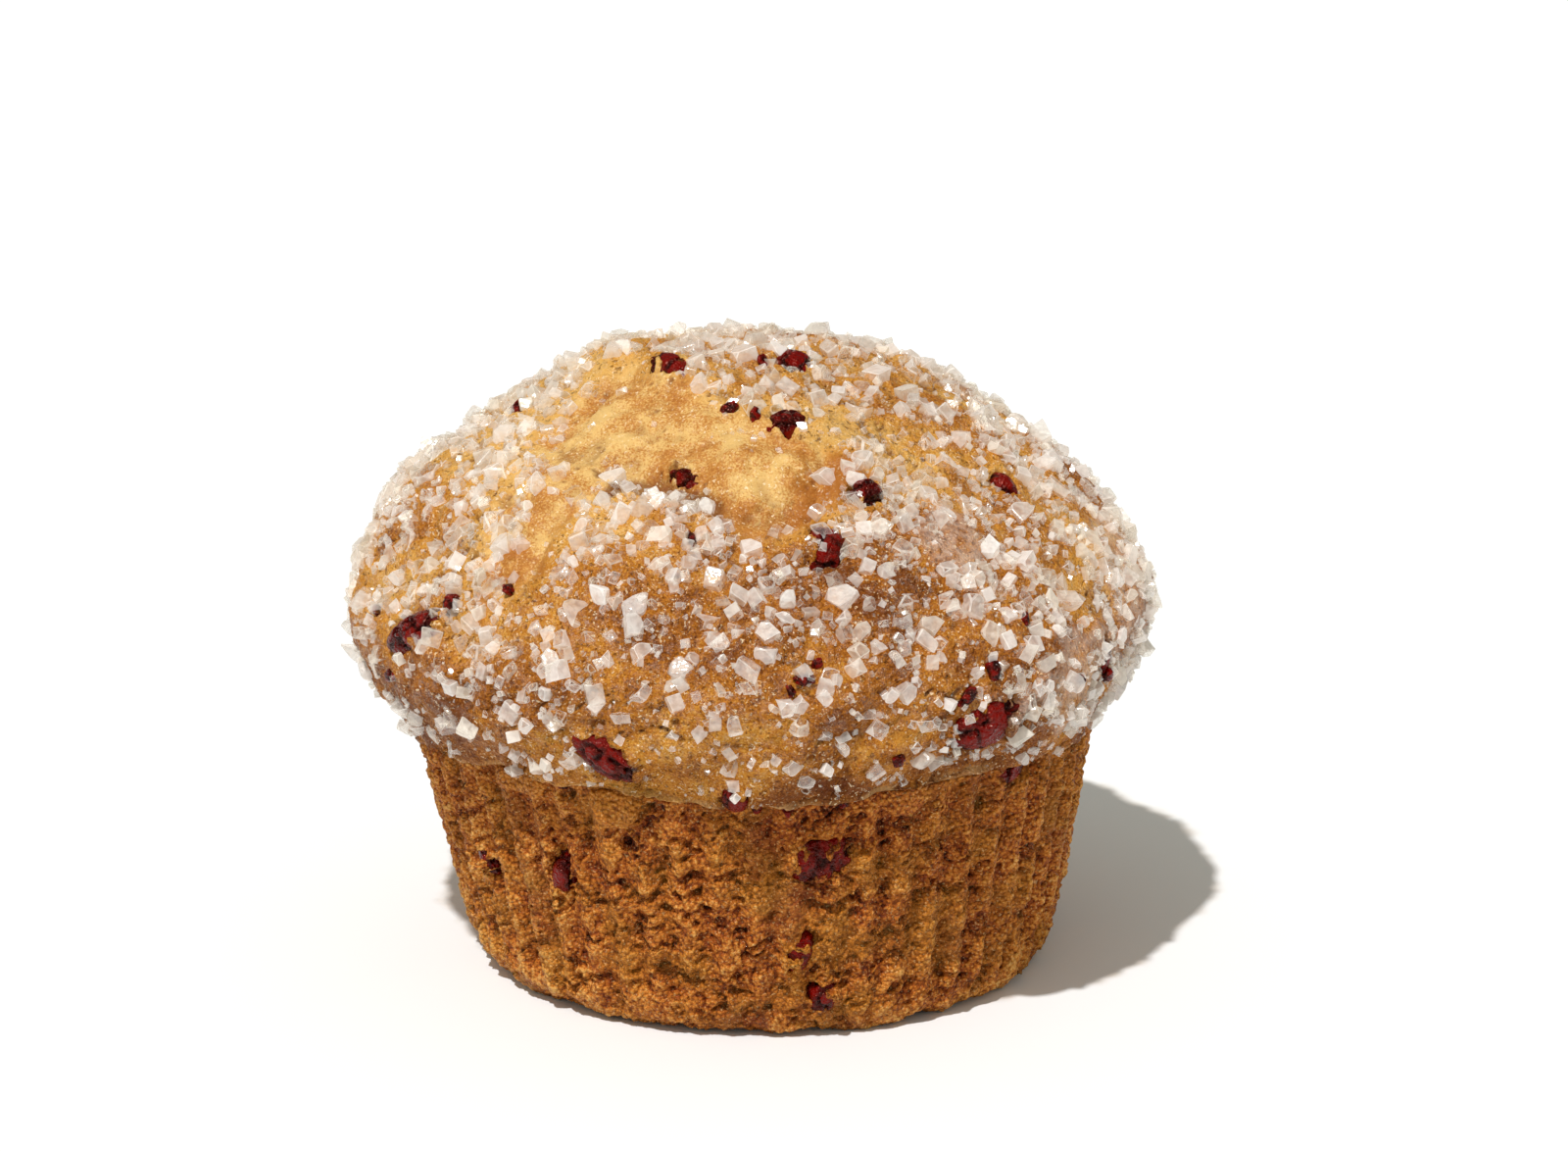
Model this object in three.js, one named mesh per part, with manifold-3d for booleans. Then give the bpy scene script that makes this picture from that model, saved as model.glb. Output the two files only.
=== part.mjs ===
// A large bakery muffin with dried cranberries and coarse sugar. Millimetres, +Z up, the front at -Y.
// The crumb is one solid: a side fluted by a paper case that has been peeled off, under a wide cap
// whose crust has split at the crown. The largest sugar crystals are fused to the cap. Each piece
// of cranberry that shows is a solid of its own, seated in a pocket of the crumb.
import * as THREE from "three";
import { mergeVertices } from "three/addons/utils/BufferGeometryUtils.js";
import Module from "manifold-3d";

// Driving dimensions of the outline.
const FOOT_RADIUS = 36.8;
const FOOT_EDGE_WIDTH = 4.5;
const FOOT_EDGE_HEIGHT = 6;
const COLLAR_RADIUS = 42.1;
const COLLAR_HEIGHT = 32.3;
const LIP_OVERHANG = 1.5;
const LIP_RISE = 0.9;
const CAP_RADIUS = 49;
const CAP_WIDEST_HEIGHT = 45.5;
const CROWN_HEIGHT = 77.4;

// Shape of the flare under the cap and of the dome over it, as powers of a superellipse.
const FLARE_POWER = 2;
const DOME_POWER_UP = 1.56;
const DOME_POWER_OUT = 1.7;

// How far the foot, the widest part of the cap and the crown stand off the middle axis, along X.
const FOOT_SHIFT = 1.2;
const CAP_SHIFT = -0.5;
const CROWN_SHIFT = -1.8;

// The paper case left this many flutes. They are shallow at the front and deeper elsewhere.
const FLUTES = 56;
const FLUTE_DEPTH = 0.75;
const FRONT_FLUTE_SHARE = 0.45;

// Uneven roundness of the cap: number of lobes, share of the radius and turn in radians.
const LOBES = [
  { count: 2, share: 0.006, turn: 0.6 },
  { count: 3, share: 0.005, turn: 2.2 },
  { count: 5, share: 0.004, turn: 4.1 },
];
const SIDE_LOBE_SHARE = 0.4;
const LIP_WAVE = 0.5;
const LIP_WAVES = 5;

// The split in the crust, seen from above. Inside it the crumb is smooth and has no sugar.
const SPLIT_OUTLINE = [
  [-30, -34.5], [-31, -29], [-27, -22], [-23, -14], [-18, -7], [-13, -4], [-8.5, -12],
  [-1, -18.5], [5, -22.5], [10, -23], [15.5, -27], [12, -31], [7, -35], [1, -36],
  [-3, -33], [-9, -29], [-14.5, -25.7], [-19, -29.5], [-24, -33.5],
];
const SPLIT_RIM_RISE = 0.9;
const SPLIT_RIM_WIDTH = 6;
const SPLIT_CREVICE_DEPTH = 1.3;
const SPLIT_CREVICE_WIDTH = 2.6;

// Low swells of the crust: rise in millimetres and waves per millimetre along X, Y and Z.
const SWELLS = [
  { rise: 0.55, wave: [0.16, 0.11, 0.13], turn: 0.4 },
  { rise: 0.4, wave: [-0.21, 0.24, 0.1], turn: 2.1 },
  { rise: 0.25, wave: [0.41, 0.33, -0.37], turn: 4.4 },
];

// Grid of the crumb. Each flute has a crest and a trough. The columns halve at each of these radii.
const COLUMNS = FLUTES * 2;
const HALVING_RADII = [27, 12, 6];
const FOOT_ROWS = 3;
const SIDE_ROWS = 4;
const FLARE_ROWS = 4;
const DOME_ROWS = 16;
const ARC_STEPS = 96;

// Sugar crystals: their count before those in the split or at a cranberry are left out, their size
// and its spread, how far their middle stands off the crust and how far they lean, as shares, and
// how far they reach and stay clear of a cranberry.
const CRYSTALS = 158;
const CRYSTAL_SIZE = 1.9;
const CRYSTAL_SPREAD = 1.1;
const CRYSTAL_STANDING = -0.04;
const CRYSTAL_TILT = 0.6;
const CRYSTAL_REACH = 0.9;
const CRYSTAL_CLEARANCE = 0.6;
const CRYSTAL_LOWEST = 36;
const GOLDEN_ANGLE = Math.PI * (3 - Math.sqrt(5));

// The pieces of cranberry. Azimuth is in degrees from +X, and along is the distance in millimetres
// up the outline from the floor. Size is the half length, half width and half depth, turn is the
// angle of its length from level, and sunk is how far its middle lies under the crust.
const CRANBERRIES = [
  { name: "left_rim", azimuth: -145, along: 54.6, size: [5.4, 2.6, 2.4], turn: 28, sunk: 1.3 },
  { name: "front_low", azimuth: -111, along: 42.9, size: [5, 3, 2.5], turn: -35, sunk: 1.4 },
  { name: "front_lip", azimuth: -92, along: 39.4, size: [2.2, 2, 2], turn: 80, sunk: 0.7 },
  { name: "middle", azimuth: -74.5, along: 71.3, size: [3, 2.6, 2.4], turn: 60, sunk: 1.2 },
  { name: "crevice", azimuth: -63, along: 78.4, size: [1.9, 1.5, 1.8], turn: 20, sunk: 0.9 },
  { name: "crack", azimuth: -102, along: 82.2, size: [3, 1.5, 1.8], turn: -30, sunk: 1 },
  { name: "crown_back", azimuth: -34, along: 104, size: [2.7, 2.2, 2], turn: 15, sunk: 1 },
  { name: "crown_front", azimuth: -74, along: 91, size: [3.2, 2.2, 2], turn: 15, sunk: 1 },
  { name: "crown_left", azimuth: -130, along: 100.5, size: [3.6, 2.2, 2.2], turn: -12, sunk: 1.2 },
  { name: "left_shoulder", azimuth: -178, along: 85, size: [2.8, 1.9, 1.8], turn: 30, sunk: 1 },
  { name: "right_shoulder", azimuth: -26, along: 74.5, size: [2, 1.6, 1.7], turn: 75, sunk: 0.9 },
  { name: "right_rim", azimuth: -28, along: 49.3, size: [2.6, 1.6, 1.8], turn: 60, sunk: 0.9 },
  { name: "right_low", azimuth: -53.5, along: 46.7, size: [4.6, 3.2, 2.4], turn: 25, sunk: 1.4 },
  { name: "under_lip", azimuth: -42, along: 33.8, size: [2.8, 1.5, 1.8], turn: 8, sunk: 0.8 },
  { name: "side_ring", azimuth: -79, along: 27, size: [4.2, 3.2, 2.4], turn: 15, sunk: 1.5 },
  { name: "side_middle", azimuth: -82, along: 14.2, size: [2.6, 1.8, 1.9], turn: 75, sunk: 1.1 },
  { name: "side_low", azimuth: -78, along: 8, size: [2.3, 2, 1.8], turn: 60, sunk: 1.1 },
  { name: "side_left", azimuth: -126, along: 22.2, size: [3.3, 1.8, 2], turn: 70, sunk: 1.1 },
  { name: "side_far_left", azimuth: -147, along: 20.4, size: [2.6, 1.5, 1.7], turn: -60, sunk: 0.9 },
  { name: "side_right", azimuth: 14, along: 19, size: [2.6, 1.9, 1.9], turn: 70, sunk: 1.1 },
  { name: "side_back_right", azimuth: 52, along: 25, size: [3.4, 2.4, 2.2], turn: -50, sunk: 1.3 },
  { name: "side_back_left", azimuth: 128, along: 16, size: [2.8, 1.8, 1.9], turn: 65, sunk: 1.1 },
  { name: "back_rim", azimuth: 88, along: 54, size: [4.4, 2.6, 2.3], turn: 20, sunk: 1.3 },
  { name: "back_right", azimuth: 35, along: 68, size: [3.4, 2.6, 2.3], turn: -25, sunk: 1.3 },
  { name: "back_left", azimuth: 137, along: 72, size: [3.8, 2.4, 2.2], turn: 35, sunk: 1.2 },
  { name: "back_crown", azimuth: 96, along: 90, size: [3, 2.3, 2], turn: -10, sunk: 1.1 },
  { name: "back_low", azimuth: 168, along: 47, size: [3.6, 2.2, 2.1], turn: -20, sunk: 1.2 },
];
const CRANBERRY_GAP = 0.35;
const CRANBERRY_FOLD = 0.1;
const LARGE_CRANBERRY = 3;
const LARGE_CRANBERRY_SIDES = 8;
const SMALL_CRANBERRY_SIDES = 6;

// Colours from the baked food.
const CRUST = new THREE.MeshStandardMaterial({ color: 0xb4783c, roughness: 0.75, metalness: 0 });
const CRANBERRY = new THREE.MeshStandardMaterial({ color: 0x5e1416, roughness: 0.35, metalness: 0 });

const radians = THREE.MathUtils.degToRad;
const smoothstep = THREE.MathUtils.smoothstep;

// A repeatable draw from 0 to 1 for one crystal and one purpose.
function draw(index, purpose) {
  const value = Math.sin(index * 127.1 + purpose * 311.7) * 43758.5453;
  return value - Math.floor(value);
}

// The outline from the floor to the crown: radius and height at fine steps, with the length so far.
function traceOutline() {
  const points = [];
  const arc = (from, place) => {
    for (let i = from; i <= ARC_STEPS; i += 1) {
      points.push(new THREE.Vector2(...place((i / ARC_STEPS) * (Math.PI / 2))));
    }
  };
  arc(0, (a) => [
    FOOT_RADIUS - FOOT_EDGE_WIDTH * (1 - Math.sin(a)),
    FOOT_EDGE_HEIGHT * (1 - Math.cos(a)),
  ]);
  points.push(new THREE.Vector2(COLLAR_RADIUS, COLLAR_HEIGHT));
  const lip = new THREE.Vector2(COLLAR_RADIUS + LIP_OVERHANG, COLLAR_HEIGHT + LIP_RISE / 2);
  points.push(lip);
  const flareStart = COLLAR_HEIGHT + LIP_RISE;
  arc(1, (a) => [
    lip.x + (CAP_RADIUS - lip.x) * Math.sin(a) ** FLARE_POWER,
    CAP_WIDEST_HEIGHT - (CAP_WIDEST_HEIGHT - flareStart) * Math.cos(a),
  ]);
  arc(1, (a) => [
    CAP_RADIUS * Math.max(0, 1 - Math.sin(a) ** DOME_POWER_UP) ** (1 / DOME_POWER_OUT),
    CAP_WIDEST_HEIGHT + (CROWN_HEIGHT - CAP_WIDEST_HEIGHT) * Math.sin(a),
  ]);
  const lengths = [0];
  for (let i = 1; i < points.length; i += 1) {
    lengths.push(lengths[i - 1] + points[i].distanceTo(points[i - 1]));
  }
  return { points, lengths };
}

const outline = traceOutline();
const OUTLINE_LENGTH = outline.lengths.at(-1);

// The outline's point at a distance along it.
function outlineAt(along) {
  const { points, lengths } = outline;
  const wanted = THREE.MathUtils.clamp(along, 0, OUTLINE_LENGTH);
  const next = Math.max(1, lengths.findIndex((length) => length >= wanted));
  const share = (wanted - lengths[next - 1]) / (lengths[next] - lengths[next - 1]);
  return points[next - 1].clone().lerp(points[next], share);
}

// The distance along the outline of its first point at or above a height.
function alongAtHeight(height) {
  const index = outline.points.findIndex((point) => point.y >= height);
  return outline.lengths[index];
}

// How far a point seen from above lies outside the split. It is negative inside.
function distanceOutsideSplit(x, y) {
  let nearest = Infinity;
  let inside = false;
  SPLIT_OUTLINE.forEach(([ax, ay], i) => {
    const [bx, by] = SPLIT_OUTLINE[(i + 1) % SPLIT_OUTLINE.length];
    const [dx, dy] = [bx - ax, by - ay];
    const share = THREE.MathUtils.clamp(((x - ax) * dx + (y - ay) * dy) / (dx * dx + dy * dy), 0, 1);
    nearest = Math.min(nearest, Math.hypot(x - ax - share * dx, y - ay - share * dy));
    if (ay > y !== by > y && x < ax + (dx * (y - ay)) / dy) inside = !inside;
  });
  return inside ? -nearest : nearest;
}

// How far the crust stands out from the plain outline at a point of the cap.
function capRelief(point) {
  let rise = 0;
  for (const { rise: height, wave, turn } of SWELLS) {
    const [wx, wy, wz] = wave;
    rise += height * Math.sin(wx * point.x + wy * point.y + wz * point.z + turn);
  }
  const outside = distanceOutsideSplit(point.x, point.y);
  if (point.z < CAP_WIDEST_HEIGHT) return rise;
  if (outside > 0) return rise + SPLIT_RIM_RISE * Math.exp(-outside / SPLIT_RIM_WIDTH);
  return rise - SPLIT_CREVICE_DEPTH * Math.exp(-((outside / SPLIT_CREVICE_WIDTH) ** 2));
}

// How far the baked side stands out from the plain outline. The troughs of the flutes lie inside it.
function sideRelief(azimuth, height) {
  const towardsFront = (1 - Math.sin(azimuth)) / 2;
  const strength = 1 - (1 - FRONT_FLUTE_SHARE) * towardsFront ** 3;
  const fadeAtFoot = 0.35 + 0.65 * smoothstep(height, 0, FOOT_EDGE_HEIGHT);
  return FLUTE_DEPTH * strength * fadeAtFoot * 0.5 * (Math.cos(FLUTES * azimuth) - 1);
}

// How much wider or narrower the cap is at an azimuth, as a share of its radius.
function lobesAt(azimuth) {
  return LOBES.reduce((sum, { count, share, turn }) => sum + share * Math.cos(count * azimuth + turn), 0);
}

// How far the middle of the muffin stands off the axis along X at a height.
function sideways(height) {
  const upToCap = smoothstep(height, 0, CAP_WIDEST_HEIGHT);
  const upToCrown = smoothstep(height, CAP_WIDEST_HEIGHT, CROWN_HEIGHT);
  return FOOT_SHIFT + (CAP_SHIFT - FOOT_SHIFT) * upToCap + (CROWN_SHIFT - CAP_SHIFT) * upToCrown;
}

// How far the wavy lip lifts or lowers the crust at a height. The foot and the cap stay as they are.
function lipWave(azimuth, height) {
  const upToLip = smoothstep(height, FOOT_EDGE_HEIGHT, COLLAR_HEIGHT);
  const aboveLip = smoothstep(height, COLLAR_HEIGHT + LIP_RISE, CAP_WIDEST_HEIGHT);
  return LIP_WAVE * Math.sin(LIP_WAVES * azimuth) * upToLip * (1 - aboveLip);
}

// A point of the crust from its azimuth in radians and its distance along the outline.
function crustPoint(azimuth, along) {
  const flat = outlineAt(along);
  const before = outlineAt(along - 0.5);
  const after = outlineAt(along + 0.5);
  const slope = after.sub(before).normalize();
  const capShare = smoothstep(flat.y, COLLAR_HEIGHT, COLLAR_HEIGHT + LIP_RISE);
  const lobed = THREE.MathUtils.lerp(SIDE_LOBE_SHARE, 1, capShare) * lobesAt(azimuth);
  const radius = flat.x * (1 + lobed);
  const plain = new THREE.Vector3(radius * Math.cos(azimuth), radius * Math.sin(azimuth), flat.y);
  const relief = THREE.MathUtils.lerp(sideRelief(azimuth, flat.y), capRelief(plain), capShare);
  const onSide = flat.y < COLLAR_HEIGHT;
  const reach = radius + relief * (onSide ? 1 : slope.y);
  const height = flat.y - relief * (onSide ? 0 : slope.x) + lipWave(azimuth, flat.y);
  const shift = sideways(flat.y);
  return new THREE.Vector3(reach * Math.cos(azimuth) + shift, reach * Math.sin(azimuth), height);
}

// The crust's outward normal, from three points a small step apart.
function crustNormal(azimuth, along) {
  const step = 0.8;
  const here = crustPoint(azimuth, along);
  const { x: radius } = outlineAt(along);
  const beside = crustPoint(azimuth + step / Math.max(radius, 1), along).sub(here);
  const above = crustPoint(azimuth, along + step).sub(here);
  return beside.cross(above).normalize();
}

// The distances along the outline of the grid's rows, from the floor to just under the crown.
function gridRows() {
  const rows = [];
  const footEnd = alongAtHeight(FOOT_EDGE_HEIGHT);
  const collar = alongAtHeight(COLLAR_HEIGHT);
  const lip = alongAtHeight(COLLAR_HEIGHT + LIP_RISE / 2);
  const widest = alongAtHeight(CAP_WIDEST_HEIGHT);
  for (let i = 0; i < FOOT_ROWS; i += 1) rows.push((footEnd * i) / FOOT_ROWS);
  for (let i = 0; i < SIDE_ROWS; i += 1) rows.push(footEnd + ((collar - footEnd) * i) / SIDE_ROWS);
  rows.push(collar);
  for (let i = 0; i < FLARE_ROWS; i += 1) rows.push(lip + ((widest - lip) * i) / FLARE_ROWS);
  for (let i = 0; i < DOME_ROWS; i += 1) {
    rows.push(widest + ((OUTLINE_LENGTH - widest) * i) / DOME_ROWS);
  }
  return rows;
}

// The closed surface of the crumb, as rings of points joined by bands of triangles.
function crumbGeometry() {
  const points = [];
  const triangles = [];
  const addPoint = (point) => {
    points.push(point);
    return points.length - 1;
  };
  const rings = gridRows().map((along) => {
    const { x: radius } = outlineAt(along);
    const halvings = HALVING_RADII.filter((limit) => radius < limit).length;
    const count = COLUMNS / 2 ** halvings;
    return Array.from({ length: count }, (_, i) => addPoint(crustPoint((i * 2 * Math.PI) / count, along)));
  });
  const at = (ring, i) => ring[i % ring.length];
  for (let row = 1; row < rings.length; row += 1) {
    const [lower, upper] = [rings[row - 1], rings[row]];
    const ratio = lower.length / upper.length;
    upper.forEach((left, i) => {
      const right = at(upper, i + 1);
      for (let k = 0; k < ratio; k += 1) {
        const start = i * ratio + k;
        triangles.push(at(lower, start), at(lower, start + 1), k < ratio / 2 ? left : right);
      }
      triangles.push(at(lower, i * ratio + Math.ceil(ratio / 2)), right, left);
    });
  }
  const [foot, top] = [rings[0], rings.at(-1)];
  const footCentre = addPoint(new THREE.Vector3(FOOT_SHIFT, 0, 0));
  const crown = addPoint(crustPoint(0, OUTLINE_LENGTH));
  foot.forEach((point, i) => triangles.push(footCentre, at(foot, i + 1), point));
  top.forEach((point, i) => triangles.push(point, at(top, i + 1), crown));
  const geometry = new THREE.BufferGeometry().setFromPoints(points);
  geometry.setIndex(triangles);
  return geometry;
}

// Where a piece of cranberry lies: its middle and its turned axes.
function cranberryPlace({ azimuth, along, turn, sunk }) {
  const angle = radians(azimuth);
  const normal = crustNormal(angle, along);
  const level = new THREE.Vector3(-Math.sin(angle), Math.cos(angle), 0);
  const up = normal.clone().cross(level).normalize();
  const length = level.multiplyScalar(Math.cos(radians(turn))).addScaledVector(up, Math.sin(radians(turn)));
  const width = normal.clone().cross(length).normalize();
  const basis = new THREE.Matrix4().makeBasis(width.negate(), length, normal);
  return basis.setPosition(crustPoint(angle, along).addScaledVector(normal, -sunk));
}

// A wrinkled oval as large as a piece of cranberry, grown all round by a margin.
function cranberryGeometry(berry, margin) {
  const [halfLength, halfWidth, halfDepth] = berry.size.map((half) => half + margin);
  const halves = new THREE.Vector3(halfWidth, halfLength, halfDepth);
  const sides = berry.size[0] < LARGE_CRANBERRY ? SMALL_CRANBERRY_SIDES : LARGE_CRANBERRY_SIDES;
  const geometry = new THREE.SphereGeometry(1, sides, sides - 2);
  const position = geometry.getAttribute("position");
  const seed = berry.azimuth;
  const point = new THREE.Vector3();
  for (let i = 0; i < position.count; i += 1) {
    point.fromBufferAttribute(position, i).normalize();
    const fold = Math.sin(5 * point.x + 4 * point.y + seed) * Math.cos(4 * point.z - seed);
    point.multiplyScalar(1 + CRANBERRY_FOLD * fold).multiply(halves);
    position.setXYZ(i, point.x, point.y, point.z);
  }
  return geometry.applyMatrix4(cranberryPlace(berry));
}

// One sugar crystal: a box with uneven corners, tilted and part sunk in the crust.
function crystalGeometry(index, azimuth, along) {
  const size = CRYSTAL_SIZE + CRYSTAL_SPREAD * draw(index, 1);
  const geometry = new THREE.BoxGeometry(
    size,
    size * (0.75 + 0.3 * draw(index, 2)),
    size * (0.7 + 0.3 * draw(index, 3)),
  );
  geometry.deleteAttribute("normal");
  geometry.deleteAttribute("uv");
  const crystal = mergeVertices(geometry);
  const position = crystal.getAttribute("position");
  for (let i = 0; i < position.count; i += 1) {
    const shrink = 1 - 0.16 * draw(index, 10 + i);
    position.setXYZ(i, position.getX(i) * shrink, position.getY(i) * shrink, position.getZ(i));
  }
  const normal = crustNormal(azimuth, along);
  const lean = new THREE.Vector3(draw(index, 4) - 0.5, draw(index, 5) - 0.5, draw(index, 6) - 0.5);
  const upright = normal.clone().addScaledVector(lean, CRYSTAL_TILT).normalize();
  const turned = new THREE.Quaternion().setFromUnitVectors(new THREE.Vector3(0, 0, 1), upright);
  const spin = new THREE.Quaternion().setFromAxisAngle(upright, draw(index, 7) * Math.PI);
  const middle = crustPoint(azimuth, along).addScaledVector(normal, size * CRYSTAL_STANDING);
  const place = new THREE.Matrix4().compose(middle, spin.multiply(turned), new THREE.Vector3(1, 1, 1));
  return { geometry: crystal.applyMatrix4(place), middle, size };
}

// The large crystals, spread evenly over the cap by the golden angle, clear of split and cranberries.
function crystalGeometries() {
  const centres = CRANBERRIES.map((berry) => {
    const centre = new THREE.Vector3().setFromMatrixPosition(cranberryPlace(berry));
    return { centre, reach: Math.max(...berry.size) };
  });
  const kept = [];
  for (let i = 0; i < CRYSTALS; i += 1) {
    const height = CROWN_HEIGHT - ((CROWN_HEIGHT - CRYSTAL_LOWEST) * (i + 0.5)) / CRYSTALS;
    const azimuth = i * GOLDEN_ANGLE;
    const crystal = crystalGeometry(i, azimuth, alongAtHeight(height));
    const { middle, size } = crystal;
    const margin = size * CRYSTAL_REACH + CRYSTAL_CLEARANCE;
    const atBerry = centres.some(({ centre, reach }) => centre.distanceTo(middle) < reach + margin);
    const inSplit = distanceOutsideSplit(middle.x, middle.y) < 1 && height > CAP_WIDEST_HEIGHT;
    if (!atBerry && !inSplit) kept.push(crystal.geometry);
  }
  return kept;
}

const wasm = await Module();
wasm.setup();

// A closed geometry as a solid that can be joined and cut.
function toSolid(geometry) {
  const bare = geometry.clone();
  bare.deleteAttribute("normal");
  bare.deleteAttribute("uv");
  const merged = mergeVertices(bare, 1e-4);
  const vertProperties = new Float32Array(merged.getAttribute("position").array);
  const triVerts = new Uint32Array(merged.index.array);
  return new wasm.Manifold(new wasm.Mesh({ numProp: 3, vertProperties, triVerts }));
}

// A solid as a geometry for a mesh.
function toGeometry(solid) {
  const { vertProperties, triVerts } = solid.getMesh();
  const geometry = new THREE.BufferGeometry();
  geometry.setAttribute("position", new THREE.BufferAttribute(vertProperties, 3));
  geometry.setIndex(new THREE.BufferAttribute(triVerts, 1));
  geometry.computeVertexNormals();
  return geometry;
}

// The crumb with its crystals joined on and a pocket cut for each cranberry.
function muffinMesh() {
  let solid = toSolid(crumbGeometry());
  for (const geometry of crystalGeometries()) solid = solid.add(toSolid(geometry));
  for (const berry of CRANBERRIES) solid = solid.subtract(toSolid(cranberryGeometry(berry, CRANBERRY_GAP)));
  const mesh = new THREE.Mesh(toGeometry(solid), CRUST);
  mesh.name = "muffin";
  return mesh;
}

function cranberryMesh(berry) {
  const mesh = new THREE.Mesh(toGeometry(toSolid(cranberryGeometry(berry, 0))), CRANBERRY);
  mesh.name = `cranberry_${berry.name}`;
  return mesh;
}

const muffin = new THREE.Group();
muffin.add(muffinMesh(), ...CRANBERRIES.map(cranberryMesh));

// The origin is the middle of the whole, on the floor.
const box = new THREE.Box3().setFromObject(muffin);
const middle = box.getCenter(new THREE.Vector3());
muffin.children.forEach((mesh) => mesh.position.set(-middle.x, -middle.y, -box.min.z));

export default muffin;
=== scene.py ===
import math
from itertools import product

import bmesh
import bpy
import numpy as np
from mathutils import Matrix, Vector


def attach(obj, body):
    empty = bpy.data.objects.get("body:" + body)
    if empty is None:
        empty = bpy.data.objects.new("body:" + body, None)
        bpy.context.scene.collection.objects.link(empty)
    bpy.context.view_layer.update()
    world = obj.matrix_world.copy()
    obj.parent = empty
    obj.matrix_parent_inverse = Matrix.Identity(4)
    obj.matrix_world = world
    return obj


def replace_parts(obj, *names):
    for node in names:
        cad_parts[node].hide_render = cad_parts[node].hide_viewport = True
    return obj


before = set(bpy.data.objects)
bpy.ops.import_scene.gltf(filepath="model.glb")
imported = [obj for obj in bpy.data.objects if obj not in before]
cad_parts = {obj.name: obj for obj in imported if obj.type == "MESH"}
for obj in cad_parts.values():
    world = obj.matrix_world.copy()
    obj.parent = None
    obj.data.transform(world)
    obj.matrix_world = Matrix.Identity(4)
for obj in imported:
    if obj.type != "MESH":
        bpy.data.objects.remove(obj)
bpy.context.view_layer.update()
MM = 0.001

# Driving dimensions of the outline, as in the solids.
FOOT_RADIUS = 36.8
FOOT_EDGE_WIDTH = 4.5
FOOT_EDGE_HEIGHT = 6.0
FOOT_FLAT_RADIUS = FOOT_RADIUS - FOOT_EDGE_WIDTH
COLLAR_RADIUS = 42.1
COLLAR_HEIGHT = 32.3
LIP_OVERHANG = 1.5
LIP_RISE = 0.9
CAP_RADIUS = 49.0
CAP_WIDEST_HEIGHT = 45.5
CROWN_HEIGHT = 77.4
FLARE_POWER = 2.0
DOME_POWER_UP = 1.56
DOME_POWER_OUT = 1.7
FOOT_SHIFT = 1.2
CAP_SHIFT = -0.5
CROWN_SHIFT = -1.8
FLUTES = 56
FLUTE_DEPTH = 0.75
FRONT_FLUTE_SHARE = 0.45
LOBES = ((2, 0.006, 0.6), (3, 0.005, 2.2), (5, 0.004, 4.1))
SIDE_LOBE_SHARE = 0.4
LIP_WAVE = 0.5
LIP_WAVES = 5
SPLIT_OUTLINE = (
    (-30, -34.5), (-31, -29), (-27, -22), (-23, -14), (-18, -7), (-13, -4), (-8.5, -12),
    (-1, -18.5), (5, -22.5), (10, -23), (15.5, -27), (12, -31), (7, -35), (1, -36),
    (-3, -33), (-9, -29), (-14.5, -25.7), (-19, -29.5), (-24, -33.5),
)
BARE_OUTLINE = (  # the part of the split that has no sugar
    (-25, -39), (-27, -32), (-24, -27.5), (-22, -22), (-21, -16), (-19, -10), (-16, -3), (-11, -4),
    (-6, -15), (-2.5, -21), (0, -26.5), (6, -25.5), (8, -29), (7.5, -33.5), (2, -36), (-2, -34),
    (-7, -29), (-11, -25.5), (-16, -24), (-18, -26), (-20, -30), (-22, -34),
)
SPLIT_RIM_RISE = 0.9
SPLIT_RIM_WIDTH = 6.0
SPLIT_CREVICE_DEPTH = 1.3
SPLIT_CREVICE_WIDTH = 2.6
SWELLS = (
    (0.55, (0.16, 0.11, 0.13), 0.4),
    (0.4, (-0.21, 0.24, 0.1), 2.1),
    (0.25, (0.41, 0.33, -0.37), 4.4),
)
ARC_STEPS = 96

# The large crystals fused to the solid, by the solid's own rule.
FUSED_CRYSTALS = 158
CRYSTAL_SIZE = 1.9
CRYSTAL_SPREAD = 1.1
CRYSTAL_STANDING = -0.04
CRYSTAL_TILT = 0.6
CRYSTAL_REACH = 0.9
CRYSTAL_CLEARANCE = 0.6
CRYSTAL_LOWEST = 36.0
GOLDEN_ANGLE = math.pi * (3 - math.sqrt(5))

# The grids of the two crumb pieces, and how finely the balls of the fruit are divided.
SIDE_COLUMNS = 800
SIDE_ROWS = 111
FOOT_RINGS = 24
CAP_COLUMNS = 640
CAP_ROWS = 172
CAP_HALVING_RADII = (25.0, 12.0, 6.0)
CAP_FLOOR_RADIUS = 38.0
BERRY_SUBDIVISIONS = 5
FLECK_SUBDIVISIONS = 3

# The steps from a cell to itself and the 26 around it.
NEIGHBOURS = tuple(product((-1, 0, 1), repeat=3))

# Sizes of what the side's and the cap's texture is made of, in millimetres.
SIDE_GRAIN, SIDE_FINE_GRAIN, SIDE_CLUSTER, STREAK_WIDTH = 0.98, 0.6, 2.2, 2.2
SKIN_PATCH, TEAR_SPACING, HOLE_SIZE = 5.2, 4.2, 1.8
CRAG_SIZE, SMALL_CRAG_SIZE, CREASE_SIZE, CAP_GRAIN = 8.5, 2.8, 6.5, 0.95
PORE_SPACING, CRACK_SPACING, BAKE_PATCH = 1.7, 4.4, 10.0

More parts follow.
